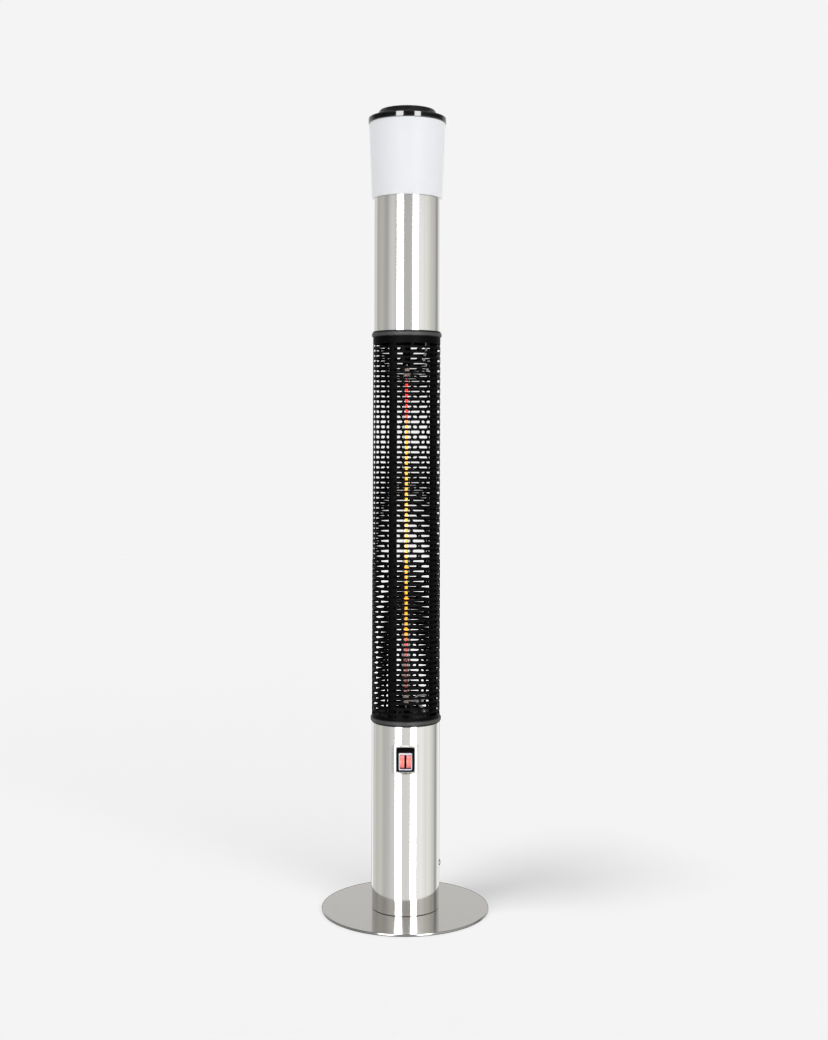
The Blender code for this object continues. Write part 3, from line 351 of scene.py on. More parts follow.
MATERIALS = {
    "brushed_steel": tube_steel(),
    "plate": plate_steel(),
    "zinc_steel": zinc_steel(),
    "black_steel": coated("black_coating", (0.0012, 0.0012, 0.0015), 0.42, 0.58,
                          Specular_IOR_Level=0.035),
    "grey_ring": ring_coating(),
    "rubber": coated("black_rubber", (0.02, 0.02, 0.02), 0.75, 0.92),
    "black_plastic": coated("black_plastic", (0.0015, 0.0015, 0.002), 0.34, 0.46,
                            Specular_IOR_Level=0.03),
    "clear_silicone": clear_silicone(),
    "red_rocker": lit_rocker(),
    "brass": coated("pin_brass", (0.75, 0.55, 0.25), 0.25, 0.40, Metallic=1.0),
    "white_plastic": coated("white_plastic", (0.78, 0.77, 0.72), 0.40, 0.55),
    "quartz": clear_quartz(),
    "filament": glowing_coil(),
    "lamp_ceramic": coated("lamp_ceramic", (0.78, 0.60, 0.54), 0.50, 0.68, 1800, 0.3),
    "fibre_sleeve": sleeve_fibre(),
    "silicone_wire": coated("silicone_wire", (0.40, 0.045, 0.035), 0.45, 0.60),
    "board_aluminium": coated("white_board", (0.82, 0.83, 0.83), 0.35, 0.50),
    "frosted_shade": frosted_shade(),
    "gloss_black": coated("gloss_black", (0.0012, 0.0012, 0.0016), 0.05, 0.09, 900, 0.03,
                          IOR=1.8, Specular_IOR_Level=0.5),
}


# ---- shape helpers
SMALLEST = 1e-6                            # lengths below this count as none
SLOT_OF = {row["node"]: row["material_slot"] for row in frame["record"]["subparts"]}


def finish_cad_nodes():
    """Every CAD node gets the material of its slot, also where a finer piece replaces it."""
    for node, slot in SLOT_OF.items():
        for place in NODES[node].material_slots:
            place.material = MATERIALS["plate" if node == "base_plate" else slot]


def add_object(name, data):
    made = bpy.data.objects.new(name, data)
    bpy.context.scene.collection.objects.link(made)
    return made


def add_piece(node, shape, name=None, material=None, body=ROOT, smooth=40):
    """Makes a piece of a bmesh that rides on a body and replaces a CAD node."""
    name = name or f"{node}_fine"
    bmesh.ops.recalc_face_normals(shape, faces=shape.faces)
    mesh = bpy.data.meshes.new(name)
    shape.to_mesh(mesh)
    shape.free()
    mesh.shade_smooth()
    mesh.set_sharp_from_angle(angle=radians(smooth))
    piece = add_object(name, mesh)
    mesh.materials.append(material or MATERIALS[SLOT_OF[node]])
    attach(piece, body)
    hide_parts(node)
    return piece


def rounded(outline, steps=4):
    """Closed (radius, height, fillet) outline with every corner of fillet above 0 rounded."""
    made = []
    for index, (x, y, fillet) in enumerate(outline):
        corner = Vector((x, y))
        before = Vector(outline[index - 1][:2])
        after = Vector(outline[(index + 1) % len(outline)][:2])
        if fillet <= 0:
            made.append((x, y))
            continue
        back = (before - corner).normalized()
        on = (after - corner).normalized()
        half = back.angle(on) / 2
        longest = 0.49 * min((before - corner).length, (after - corner).length)
        reach = min(fillet / tan(half), longest)
        size = reach * tan(half)
        centre = corner + (back + on).normalized() * (size / sin(half))
        first, last = corner + back * reach, corner + on * reach
        start = atan2(first.y - centre.y, first.x - centre.x)
        turn = atan2(last.y - centre.y, last.x - centre.x) - start
        turn = (turn + pi) % (2 * pi) - pi
        for step in range(steps + 1):
            angle = start + turn * step / steps
            made.append((centre.x + size * cos(angle), centre.y + size * sin(angle)))
    return held(made)


def held(outline):
    """The outline with a point close to each end of its long sides, so that they shade flat."""
    hold = 0.4 * MM
    made = []
    for index, point in enumerate(outline):
        start, end = Vector(point), Vector(outline[(index + 1) % len(outline)])
        made.append(point)
        if (end - start).length > 8 * hold:
            step = (end - start).normalized() * hold
            made += [tuple(start + step), tuple(end - step)]
    return made


def turn_outline(shape, outline, sides, place=None):
    """Adds a solid turned about Z to a bmesh, from a closed (radius, height) outline."""
    place = place or Matrix()
    rings = []
    for radius, height in outline:
        if radius < SMALLEST:
            rings.append([shape.verts.new(place @ Vector((0, 0, height)))] * sides)
            continue
        ring = []
        for step in range(sides):
            angle = 2 * pi * step / sides
            point = Vector((radius * cos(angle), radius * sin(angle), height))
            ring.append(shape.verts.new(place @ point))
        rings.append(ring)
    for first, second in zip(rings, rings[1:] + rings[:1]):
        for step in range(sides):
            after = (step + 1) % sides
            corners = [first[step], first[after], second[after], second[step]]
            different = list(dict.fromkeys(corners))
            if len(different) > 2:
                shape.faces.new(different)


def turned(node, outline, sides, place=None, **options):
    """Replaces a node with a solid turned from an outline."""
    shape = bmesh.new()
    turn_outline(shape, rounded(outline), sides, place)
    add_piece(node, shape, **options)


def loft(shape, loops, closed=True):
    """Joins equally long loops of points into a skin; closed joins the last loop to the first."""
    rings = [[shape.verts.new(point) for point in loop] for loop in loops]
    following = rings[1:] + rings[:1] if closed else rings[1:]
    for first, second in zip(rings, following):
        for step in range(len(first)):
            after = (step + 1) % len(first)
            shape.faces.new([first[step], first[after], second[after], second[step]])
    return rings


def rounded_box(shape, lowest, highest, radius, steps=3):
    """Adds a box with rounded edges to a bmesh."""
    size = Vector(highest) - Vector(lowest)
    middle = (Vector(highest) + Vector(lowest)) / 2
    made = bmesh.ops.create_cube(shape, size=1.0)["verts"]
    bmesh.ops.scale(shape, vec=size, verts=made)
    bmesh.ops.translate(shape, vec=middle, verts=made)
    edges = list(dict.fromkeys(edge for vert in made for edge in vert.link_edges))
    bmesh.ops.bevel(shape, geom=edges, offset=radius, segments=steps, affect="EDGES", profile=0.5)


def outward(direction, height, distance=0.0):
    """Frame with +Z pointing out of the column, direction degrees round from +X."""
    turn = Matrix.Rotation(radians(direction), 4, "Z")
    lift = Matrix.Translation((0, 0, height))
    return lift @ turn @ Matrix.Rotation(pi / 2, 4, "Y") @ Matrix.Translation((0, 0, distance))


def smooth_route(points, steps=8):
    """Points on a smooth curve through the route's own points."""
    route = [Vector(point) for point in points]
    padded = [2 * route[0] - route[1], *route, 2 * route[-1] - route[-2]]
    made = []
    for index in range(1, len(padded) - 2):
        before, start, end, after = padded[index - 1:index + 3]
        length = (end - start).length
        start_pull = (end - before).normalized() * length
        end_pull = (after - start).normalized() * length
        for step in range(steps):
            t = step / steps
            made.append((2 * t**3 - 3 * t**2 + 1) * start + (t**3 - 2 * t**2 + t) * start_pull
                        + (3 * t**2 - 2 * t**3) * end + (t**3 - t**2) * end_pull)
    made.append(route[-1])
    return made


def steady_frames(points):
    """(point, side, up) along a route, turned as little as possible from one to the next."""
    side = None
    for index, point in enumerate(points):
        ahead = points[min(index + 1, len(points) - 1)]
        behind = points[max(index - 1, 0)]
        along = (ahead - behind).normalized()
        upright = abs(along.z) >= 0.8
        guess = side or Vector((1, 0, 0) if upright else (0, 0, 1))
        side = (guess - along * guess.dot(along)).normalized()
        yield point, side, along.cross(side)


def sweep(shape, points, radius, sides=12):
    """Adds a round tube along a route to a bmesh, with closed ends."""
    loops = []
    for point, side, up in steady_frames(points):
        ring = []
        for step in range(sides):
            angle = 2 * pi * step / sides
            ring.append(point + (side * cos(angle) + up * sin(angle)) * radius)
        loops.append(ring)
    rings = loft(shape, loops, closed=False)
    shape.faces.new(rings[0][::-1])
    shape.faces.new(rings[-1])


def smoothstep(value, start, end):
    share = max(0.0, min(1.0, (value - start) / (end - start)))
    return share * share * (3 - 2 * share)


# ---- base
PADS = 6


def make_base():
    bottom, top = heights_of("base_plate")
    radius = radius_of("base_plate")
    edge, pad_edge = 0.4 * MM, 0.3 * MM
    outline = [(0, bottom, 0), (radius, bottom, edge), (radius, top, edge), (0, top, 0)]
    turned("base_plate", outline, 256, material=MATERIALS["plate"])
    for index in range(PADS):
        node = f"base_pad_{index + 1}"
        middle, size, top = middle_of(node), radius_of(node), high(node).z
        outline = [(0, 0, 0), (size, 0, pad_edge), (size, top, pad_edge), (0, top, 0)]
        turned(node, outline, 40, Matrix.Translation((middle.x, middle.y, 0)))


# ---- tubes
FLAT_HALF_WIDTH = 13.8 * MM                # the flattened patch, then where it has run out
FLAT_END = 21 * MM
FLAT_MARGIN = 0.2 * MM                     # above and below the switch frame
FLAT_RUN_OUT = 4.5 * MM


def wall_y(x, y, z, flat_y):
    """Front wall of the lower tube, pressed flat under the switch frame."""
    if y > 0:
        return y
    across = 1 - smoothstep(abs(x), FLAT_HALF_WIDTH, FLAT_END)
    below = smoothstep(z, FRAME_LOW.z - FLAT_RUN_OUT, FRAME_LOW.z - FLAT_MARGIN)
    above = 1 - smoothstep(z, FRAME_HIGH.z + FLAT_MARGIN, FRAME_HIGH.z + FLAT_RUN_OUT)
    return y + (flat_y - y) * across * min(below, above)


def make_lower_tube():
    bottom, top = heights_of("lower_tube")
    steps, sides = 64, 288
    margin, edge, hold = 6 * MM, TUBE_EDGE, 2 * TUBE_EDGE
    patch = [FRAME_LOW.z - margin + (FRAME_HIGH.z - FRAME_LOW.z + 2 * margin) * step / steps
             for step in range(steps + 1)]
    heights = [bottom + edge, bottom + hold, patch[0] - hold, *patch,
               patch[-1] + hold, top - hold, top - edge]
    inner = TUBE_R - TUBE_WALL
    cut = edge * 0.3
    skin = [(TUBE_R - edge, bottom, 0.0), (TUBE_R - cut, bottom + cut, 0.0)]
    skin += [(TUBE_R, z, FLAT_Y) for z in heights]
    skin += [(TUBE_R - cut, top - cut, 0.0), (TUBE_R - edge, top, 0.0)]
    skin += [(inner, z, FLAT_Y + TUBE_WALL) for z in reversed(heights)]
    loops = []
    for radius, z, flat_y in skin:
        loop = []
        for step in range(sides):
            angle = 2 * pi * step / sides
            x, y = radius * cos(angle), radius * sin(angle)
            loop.append((x, wall_y(x, y, z, flat_y) if flat_y else y, z))
        loops.append(loop)
    shape = bmesh.new()
    loft(shape, loops)
    hole = [face for face in shape.faces if in_window(face.calc_center_median())]
    bmesh.ops.delete(shape, geom=hole, context="FACES")
    add_piece("lower_tube", shape)


def in_window(point):
    overlap = 0.5 * MM
    return (point.y < 0 and abs(point.x) < WINDOW_X - overlap
            and WINDOW_LOW < point.z < WINDOW_HIGH)


def make_upper_tube():
    bottom, top = heights_of("upper_tube")
    inner = TUBE_R - TUBE_WALL
    outline = [(inner, bottom, 0), (TUBE_R, bottom, TUBE_EDGE), (TUBE_R, top, TUBE_EDGE),
               (inner, top, 0)]
    turned("upper_tube", outline, 256)


def make_rings():
    """Grey rings with a rounded middle between two lower lips, one each to guard and tube."""
    height, bore, tube_bore = 8 * MM, 48.2 * MM, 49.3 * MM
    guard_lip, tube_lip, bulge = 1.0 * MM, 2.2 * MM, 1.1 * MM
    edge, step, floor = 0.3 * MM, 0.8 * MM, 1.6 * MM
    for node, away in (("lower_ring", 1), ("upper_ring", -1)):
        skirt, face = heights_of(node)[::away]
        root = face - away * height
        outline = [
            (bore, face, edge),
            (RING_LIP_R, face, edge),
            (RING_LIP_R, face - away * guard_lip, 0),
            (RING_R, face - away * guard_lip, bulge),
            (RING_R, root + away * tube_lip, bulge),
            (RING_LIP_R, root + away * tube_lip, 0),
            (RING_LIP_R, root, edge),
            (tube_bore, root, 0),
            (tube_bore, skirt, edge),
            (bore - step, skirt, edge),
            (bore - step, root + away * floor, 0),
            (bore, root + away * floor, 0),
        ]
        turned(node, outline, 192)


def make_wall_screw(node, direction):
    """Pan-head screw with a cross recess; its head stands on the tube's outside."""
    place = outward(direction, middle_of(node).z)
    shank, head, rise = 2.0 * MM, 4.5 * MM, 1.5 * MM
    seat = TUBE_R + GAP
    inside = TUBE_R - 6.5 * MM
    outline = rounded([
        (0, inside, 0), (shank, inside, 0.3 * MM), (shank, seat, 0), (head, seat, 0.1 * MM),
        (head, seat + rise * 0.35, 0.5 * MM), (head * 0.62, seat + rise, 1.2 * MM),
        (0, seat + rise, 0),
    ])
    shape = bmesh.new()
    turn_outline(shape, outline, 40, place)
    screw = add_piece(node, shape)
    cutter = bmesh.new()
    slot, reach, depth = 0.45 * MM, 2.0 * MM, 1.0 * MM
    for width, length in ((slot, reach), (reach, slot)):
        made = bmesh.ops.create_cube(cutter, size=1.0)["verts"]
        bmesh.ops.scale(cutter, vec=(width * 2, length * 2, depth * 2), verts=made)
        centre = Matrix.Translation((0, 0, seat + rise))
        bmesh.ops.transform(cutter, matrix=place @ centre, verts=made)
    carve(screw, cutter)


def carve(piece, cutter_shape):
    """Cuts a bmesh's volume from a piece for good."""
    mesh = bpy.data.meshes.new("cutter")
    bmesh.ops.recalc_face_normals(cutter_shape, faces=cutter_shape.faces)
    cutter_shape.to_mesh(mesh)
    cutter_shape.free()
    cutter = add_object("cutter", mesh)
    modifier = piece.modifiers.new("carve", "BOOLEAN")
    modifier.operation = "DIFFERENCE"
    modifier.solver = "EXACT"
    modifier.use_self = True
    modifier.object = cutter
    bpy.context.view_layer.update()
    graph = bpy.context.evaluated_depsgraph_get()
    result = bpy.data.meshes.new_from_object(piece.evaluated_get(graph))
    piece.modifiers.clear()
    old = piece.data
    piece.data = result
    bpy.data.meshes.remove(old)
    bpy.data.objects.remove(cutter)
    piece.data.shade_smooth()
    piece.data.set_sharp_from_angle(angle=radians(35))


def make_cable_gland():
    """Hexagon, ribbed sealing nut and rubber lip of the cable inlet, with its bore left open."""
    place = outward(90, middle_of("cable_gland").z)
    seat = TUBE_R + GAP
    bore, thread, inside = 3.6 * MM, 6.0 * MM, 40 * MM
    flats, hex_rise, hex_corner = 15.5 * MM, 4.5 * MM, 9.0 * MM
    nut, nut_rise, ribs, rib_rise, rib_end = 7.3 * MM, 15 * MM, 24, 0.5 * MM, 11 * MM
    edge = 0.4 * MM
    sides = 72
    profile = [
        (bore, inside, "round"), (thread, inside, "round"), (thread, seat, "round"),
        (flats / 2, seat, "hex"), (flats / 2, seat + hex_rise, "hex"),
        (nut, seat + hex_rise + edge / 2, "rib"), (nut, seat + rib_end, "rib"),
        (nut - 0.7 * MM, seat + nut_rise - 1.5 * MM, "round"), (5.0 * MM, seat + nut_rise, "round"),
        (bore + edge, seat + nut_rise, "round"), (bore, seat + nut_rise - edge, "round"),
    ]
    loops = []
    for radius, height, kind in profile:
        loop = []
        for step in range(sides):
            angle = 2 * pi * step / sides
            reach = radius
            if kind == "hex":
                reach = min(radius / cos((angle + pi / 6) % (pi / 3) - pi / 6), hex_corner)
            if kind == "rib":
                reach = radius + rib_rise * (0.5 + 0.5 * cos(ribs * angle))
            loop.append(place @ Vector((reach * cos(angle), reach * sin(angle), height)))
        loops.append(loop)
    shape = bmesh.new()
    loft(shape, loops)
    add_piece("cable_gland", shape, smooth=35)


# ---- switch
def rounded_rectangle(half_width, bottom, top, radius, steps=6):
    """(x, z) points round a rectangle with rounded corners, starting low on the right."""
    made = []
    corners = ((1, bottom, -90), (1, top, 0), (-1, top, 90), (-1, bottom, 180))
    for side, z, start in corners:
        centre_x = side * (half_width - radius)
        centre_z = z + radius if z == bottom else z - radius
        for step in range(steps + 1):
            angle = radians(start + 90 * step / steps)
            made.append((centre_x + radius * cos(angle), centre_z + radius * sin(angle)))
    return made


def frame_front(z):
    """How far forward the frame stands at a height: its rain hood slopes out over the window."""
    hood_depth, reach, fall = 1.9 * MM, 1.75 * MM, 1.2 * MM
    hood = smoothstep(z, WINDOW_HIGH - 7 * MM, WINDOW_HIGH + GAP)
    slope = smoothstep(z, WINDOW_HIGH + 2 * GAP, FRAME_HIGH.z)
    return FRAME_LOW.y + hood_depth - reach * hood * (1 - slope) + fall * slope


def make_switch_frame():
    half, back = FRAME_HIGH.x, FRAME_HIGH.y
    soft, edge = 0.5 * MM, 0.45 * MM
    wide = rounded_rectangle(half, FRAME_LOW.z, FRAME_HIGH.z, 2.4 * MM)
    inset = rounded_rectangle(half - soft, FRAME_LOW.z + soft, FRAME_HIGH.z - soft, 2.0 * MM)
    lip = rounded_rectangle(WINDOW_X + edge, WINDOW_LOW - edge, WINDOW_HIGH + edge, 1.7 * MM)
    hole = rounded_rectangle(WINDOW_X, WINDOW_LOW, WINDOW_HIGH, 1.4 * MM)
    shape = bmesh.new()
    fill = [[(x + (ox - x) * t, z + (oz - z) * t) for (x, z), (ox, oz) in zip(lip, inset)]
            for t in (0.0, 0.25, 0.5, 0.75, 1.0)]
    loops = [
        [(x, back, z) for x, z in hole],
        [(x, frame_front(z) + 0.4 * MM, z) for x, z in hole],
        *[[(x, frame_front(z), z) for x, z in loop] for loop in fill],
        [(x, frame_front(z) + edge, z) for x, z in wide],
        [(x, back, z) for x, z in wide],
    ]
    loft(shape, loops)
    add_piece("switch_frame", shape, smooth=50)


def make_switch_seal():
    """Clear ring round the rockers with a raised soft inner edge."""
    back, front = SEAL_HIGH.y, SEAL_LOW.y
    opening_x, opening_z = 8.45 * MM, 10.5 * MM
    edge = 0.5 * MM
    low_z, high_z = SWITCH_PIVOT.z - opening_z, SWITCH_PIVOT.z + opening_z
    outer = rounded_rectangle(SEAL_HIGH.x, SEAL_LOW.z, SEAL_HIGH.z, 1.2 * MM)
    crest = rounded_rectangle(opening_x + edge, low_z - 0.7 * edge, high_z + edge, 1.0 * MM)
    inner = rounded_rectangle(opening_x, low_z, high_z, 0.8 * MM)
    shape = bmesh.new()
    loft(shape, [
        [(x, back, z) for x, z in outer],
        [(x, front + edge, z) for x, z in outer],
        [(x * 0.985, front + 0.3 * edge, z) for x, z in outer],
        [(x, front, z) for x, z in crest],
        [(x, front + edge, z) for x, z in inner],
        [(x, back, z) for x, z in inner],
    ])
    add_piece("switch_seal", shape, smooth=60)


def make_rocker(node, body):
    """Rocker with a dished front, resting with its top pressed in."""
    half_width, half = radius_of(node), 9.5 * MM
    edge, side, back, back_half = -5.5 * MM, -2.0 * MM, 2.5 * MM, 4 * MM      # from the pivot
    dish, dish_power, soft = 1.1 * MM, 1.6, 0.45 * MM
    steps = 20
    front = []
    for step in range(steps + 1):
        share = 1 - 2 * step / steps
        front.append((edge + dish * (1 - abs(share) ** dish_power), half * share))
    outline = front + [(side, -half), (back, -back_half), (back, back_half), (side, half)]
    place = Matrix.Translation((middle_of(node).x, SWITCH_PIVOT.y, SWITCH_PIVOT.z))
    place = place @ Matrix.Rotation(-ROCKER_TILT, 4, "X")
    centre_y, centre_z = -2.5 * MM, 0.0
    shape = bmesh.new()
    loops = []
    for x, shrink in ((-half_width, soft), (-half_width + soft * 0.3, soft * 0.3),
                      (-half_width + soft, 0), (half_width - soft, 0),
                      (half_width - soft * 0.3, soft * 0.3), (half_width, soft)):
        loop = []
        for y, z in outline:
            away = Vector((0, y - centre_y, z - centre_z))
            scaled = away * (1 - shrink / max(away.length, SMALLEST))
            loop.append(place @ Vector((x, centre_y + scaled.y, centre_z + scaled.z)))
        loops.append(loop)
    rings = loft(shape, loops, closed=False)
    shape.faces.new(rings[0][::-1])
    shape.faces.new(rings[-1])
    add_piece(node, shape, body=body, smooth=45)


# ---- guard
GUARD_PITCH = 7.65 * MM
GUARD_FIRST_ROW = 6.45 * MM                # first row's middle above the guard's lower edge
GUARD_ROWS = 73
GUARD_SLOTS = 12
GUARD_WEB_AT = radians(-90 + 9.7)          # one web's middle in the first row
GUARD_SHEET = 1.0 * MM
CELL_SIDES = 8                             # faces round the guard for each slot's cell
SLOT_HALF_HEIGHT = 2.13 * MM
SLOT_HALF_LENGTH = 11.85 * MM


def slot_outline(radius):
    """(angle, height) points round one slot: a straight top and bottom and two round ends."""
    step = 2 * pi / GUARD_SLOTS / CELL_SIDES
    straight = (SLOT_HALF_LENGTH - SLOT_HALF_HEIGHT) / radius
    end = SLOT_HALF_HEIGHT / radius
    top = [(-straight, 1), (-2 * step, 1), (-step, 1), (0, 1), (step, 1), (2 * step, 1), (straight, 1)]
    made = [(angle, SLOT_HALF_HEIGHT) for angle, _ in top]
    made += [(straight + end * cos(radians(turn)), SLOT_HALF_HEIGHT * sin(radians(turn)))
             for turn in (45, 0, -45)]
    made += [(-angle, -SLOT_HALF_HEIGHT) for angle, _ in top]
    made += [(-straight - end * cos(radians(turn)), SLOT_HALF_HEIGHT * sin(radians(turn)))
             for turn in (-45, 0, 45)]
    return made


def cell_border():
    """(angle, height) points of a slot's cell, matched one to one with slot_outline's points."""
    step = 2 * pi / GUARD_SLOTS / CELL_SIDES
    half = GUARD_PITCH / 2
    top = [(index * step, half) for index in range(-3, 4)]
    right = [(4 * step, half), (4 * step, 0.0), (4 * step, -half)]
    bottom = [(-angle, -half) for angle, _ in top]
    left = [(-angle, -height) for angle, height in right]
    return top + right + bottom + left


def make_guard():
    """Black sheet rolled into a cylinder, with rows of obround slots in a staggered bond."""
    bottom, top = heights_of("guard_cage")
    outer = radius_of("guard_cage")
    inner = outer - GUARD_SHEET
    slots, border = slot_outline(outer), cell_border()
    shape = bmesh.new()
    found = {}

    def vert(radius, angle, z):
        key = (radius == outer, round(angle * 1e5) % round(2 * pi * 1e5), round(z * 1e7))
        if key not in found:
            found[key] = shape.verts.new((radius * cos(angle), radius * sin(angle), z))
        return found[key]

    period = 2 * pi / GUARD_SLOTS
    count = len(border)
    for row in range(GUARD_ROWS):
        middle = bottom + GUARD_FIRST_ROW + row * GUARD_PITCH
        for slot in range(GUARD_SLOTS):
            centre = GUARD_WEB_AT + period * (slot + 0.5 + 0.5 * (row % 2))
            rings = {}
            for radius in (outer, inner):
                edge = [vert(radius, centre + angle, middle + z) for angle, z in border]
                hole = [vert(radius, centre + angle, middle + z) for angle, z in slots]
                rings[radius] = hole
                for index in range(count):
                    after = (index + 1) % count
                    shape.faces.new([edge[index], edge[after], hole[after], hole[index]])
            for index in range(count):
                after = (index + 1) % count
                shape.faces.new([rings[outer][index], rings[outer][after],
                                 rings[inner][after], rings[inner][index]])
    first = bottom + GUARD_FIRST_ROW - GUARD_PITCH / 2
    last = first + GUARD_ROWS * GUARD_PITCH
    columns = GUARD_SLOTS * CELL_SIDES
    for start, end in ((bottom, first), (last, top)):
        rim = bottom if start == bottom else top
        for column in range(columns):
            angles = [GUARD_WEB_AT + period / CELL_SIDES * (column + step) for step in (0, 1)]
            for radius in (outer, inner):
                shape.faces.new([vert(radius, angles[0], start), vert(radius, angles[1], start),
                                 vert(radius, angles[1], end), vert(radius, angles[0], end)])
            shape.faces.new([vert(outer, angles[0], rim), vert(outer, angles[1], rim),
                             vert(inner, angles[1], rim), vert(inner, angles[0], rim)])
    add_piece("guard_cage", shape, smooth=30)


def make_posts():
    bore, end, edge = 3.0 * MM, 4.6 * MM, 0.4 * MM
    floor, roof = high("lower_bulkhead").z + GAP, low("upper_bulkhead").z - GAP
    for index in (1, 2, 3):
        node = f"support_post_{index}"
        angle = radians(120 * (index - 1))
        place = Matrix.Translation((POST_CIRCLE * cos(angle), POST_CIRCLE * sin(angle), 0))
        bottom, top = heights_of(node)
        outline = [
            (bore, bottom, 0), (end, bottom, edge), (end, floor, 0), (POST_R, floor, edge),
            (POST_R, roof, edge), (end, roof, 0), (end, top, edge), (bore, top, 0),
        ]
        turned(node, outline, 40, place)


# ---- quartz lamp
def make_lamp():
    bottom, top = heights_of("quartz_tube")
    outer = radius_of("quartz_tube")
    inner = outer - 1.1 * MM
    melted, melted_bore = 0.4 * MM, 0.3 * MM
    outline = [(inner, bottom, melted_bore), (outer, bottom, melted), (outer, top, melted),
               (inner, top, melted_bore)]
    turned("quartz_tube", outline, 48)
    make_heating_coil()
    ends = (("lower", -1), ("upper", 1))
    for end, away in ends:
        make_lamp_end(f"lamp_end_{end}", away)
    for end, away in ends:
        make_holder(f"lamp_holder_{end}", away)


def make_heating_coil():
    """Close-wound coil with straight tails and small support hooks along the tube."""
    bottom, top = heights_of("heating_element")
    tail, lean = 6 * MM, 0.2 * MM
    coil_bottom, coil_top = bottom + tail, top - tail
    coil, wire, pitch = 1.85 * MM, 0.38 * MM, 1.25 * MM
    per_turn = 12
    steps = int((coil_top - coil_bottom) / pitch * per_turn)
    route = [Vector((0, 0, bottom)), Vector((lean, 0, bottom + tail / 2))]
    for step in range(steps + 1):
        angle = 2 * pi * step / per_turn
        height = coil_bottom + (coil_top - coil_bottom) * step / steps
        route.append(Vector((coil * cos(angle), coil * sin(angle), height)))
    route += [Vector((lean, 0, top - tail / 2)), Vector((0, 0, top))]
    shape = bmesh.new()
    sweep(shape, route, wire, 6)
    hooks, inner, outer, half = 9, 2.5 * MM, 4.0 * MM, 0.3 * MM
    for hook in range(1, hooks + 1):
        height = coil_bottom + (coil_top - coil_bottom) * hook / (hooks + 1)
        outline = rounded([(inner, height - half, 0), (outer, height - half, 0),
                           (outer, height + half, 0), (inner, height + half, 0)])
        turn_outline(shape, outline, 24)
    add_piece("heating_element", shape, "heating_coil", smooth=60)


def make_lamp_end(node, away):
    """Ceramic cap with two crimp grooves and the stud that sits in the holder."""
    inside, far = heights_of(node)[::away]
    stud, stud_length = 1.4 * MM, 6 * MM
    length = (far - inside) * away - stud_length
    cap = 4.6 * MM
    waist = cap - 0.5 * MM
    marks = ((0.0, cap, 0.5), (0.28, cap, 0.3), (0.33, waist, 0.2), (0.42, waist, 0.2),
             (0.47, cap, 0.3), (0.70, cap, 0.3), (0.75, waist, 0.2), (0.82, waist, 0.2),
             (0.87, cap, 0.3), (1.0, cap, 0.6))
    outline = [(0, inside, 0)]
    outline += [(radius, inside + away * length * share, fillet * MM) for share, radius, fillet in marks]
    outline += [(stud, inside + away * length, 0), (stud, far, 0.3 * MM), (0, far, 0)]
    turned(node, outline, 40)


def make_holder(node, away):
    """Folded channel between lamp end and bulkhead, with a foot held by two small screws."""
    near, far = heights_of(node)[::away]
    half, depth, sheet, foot = 6.2 * MM, 4.6 * MM, 1.2 * MM, 11.0 * MM
    inset, web = 0.4 * MM, 1.6 * MM
    screw_x, head, rise = 8.6 * MM, 2.0 * MM, 1.3 * MM
    shape = bmesh.new()

    def plate(x0, y0, z0, x1, y1, z1):
        bottom, top = sorted((z0, z1))
        rounded_box(shape, (x0, y0, bottom), (x1, y1, top), 0.35 * MM, 2)

    plate(-half, depth - sheet, near, half, depth, far)
    plate(-half, -depth, near, -half + sheet, depth, far)
    plate(half - sheet, -depth, near, half, depth, far)
    plate(-half + inset, -depth + inset, near, half - inset, depth - inset, near + away * web)
    plate(-foot, -depth, far - away * sheet, foot, depth, far)
    for side in (-1, 1):
        place = Matrix.Translation((side * screw_x, 0, far - away * sheet))
        place = place @ Matrix.Rotation(0 if away < 0 else pi, 4, "X")
        dome = rounded([(0, 0, 0), (head, 0, 0), (1.9 * MM, 0.8 * MM, 0.3 * MM),
                        (1.1 * MM, rise, 0.5 * MM), (0, rise, 0)])
        turn_outline(shape, dome, 24, place)
    add_piece(node, shape, smooth=35)


def make_lead(node, route):
    """Glass-fibre sleeve: a core with two yarns wound round it."""
    core, pitch, yarn, lay, per_turn = 1.25 * MM, 4.4 * MM, 0.62 * MM, 1.35 * MM, 14
    points = smooth_route(route, 10)
    shape = bmesh.new()
    sweep(shape, points, core, 12)
    frames = list(steady_frames(points))
    lengths = [0.0]
    for first, second in zip(points, points[1:]):
        lengths.append(lengths[-1] + (second - first).length)
    samples = int(lengths[-1] / pitch * per_turn)
    for start in (0.0, pi):
        strand = []
        segment = 0
        for sample in range(samples + 1):
            distance = lengths[-1] * sample / samples
            while segment < len(lengths) - 2 and lengths[segment + 1] < distance:
                segment += 1
            length = lengths[segment + 1] - lengths[segment]
            share = (distance - lengths[segment]) / max(length, SMALLEST)
            point, side, up = (first.lerp(second, share)
                               for first, second in zip(frames[segment], frames[segment + 1]))
            angle = start + 2 * pi * distance / pitch
            round_core = side.normalized() * cos(angle) + up.normalized() * sin(angle)
            strand.append(point + round_core * lay)
        sweep(shape, strand, yarn, 6)
    add_piece(node, shape, f"{node}_braid", smooth=60)


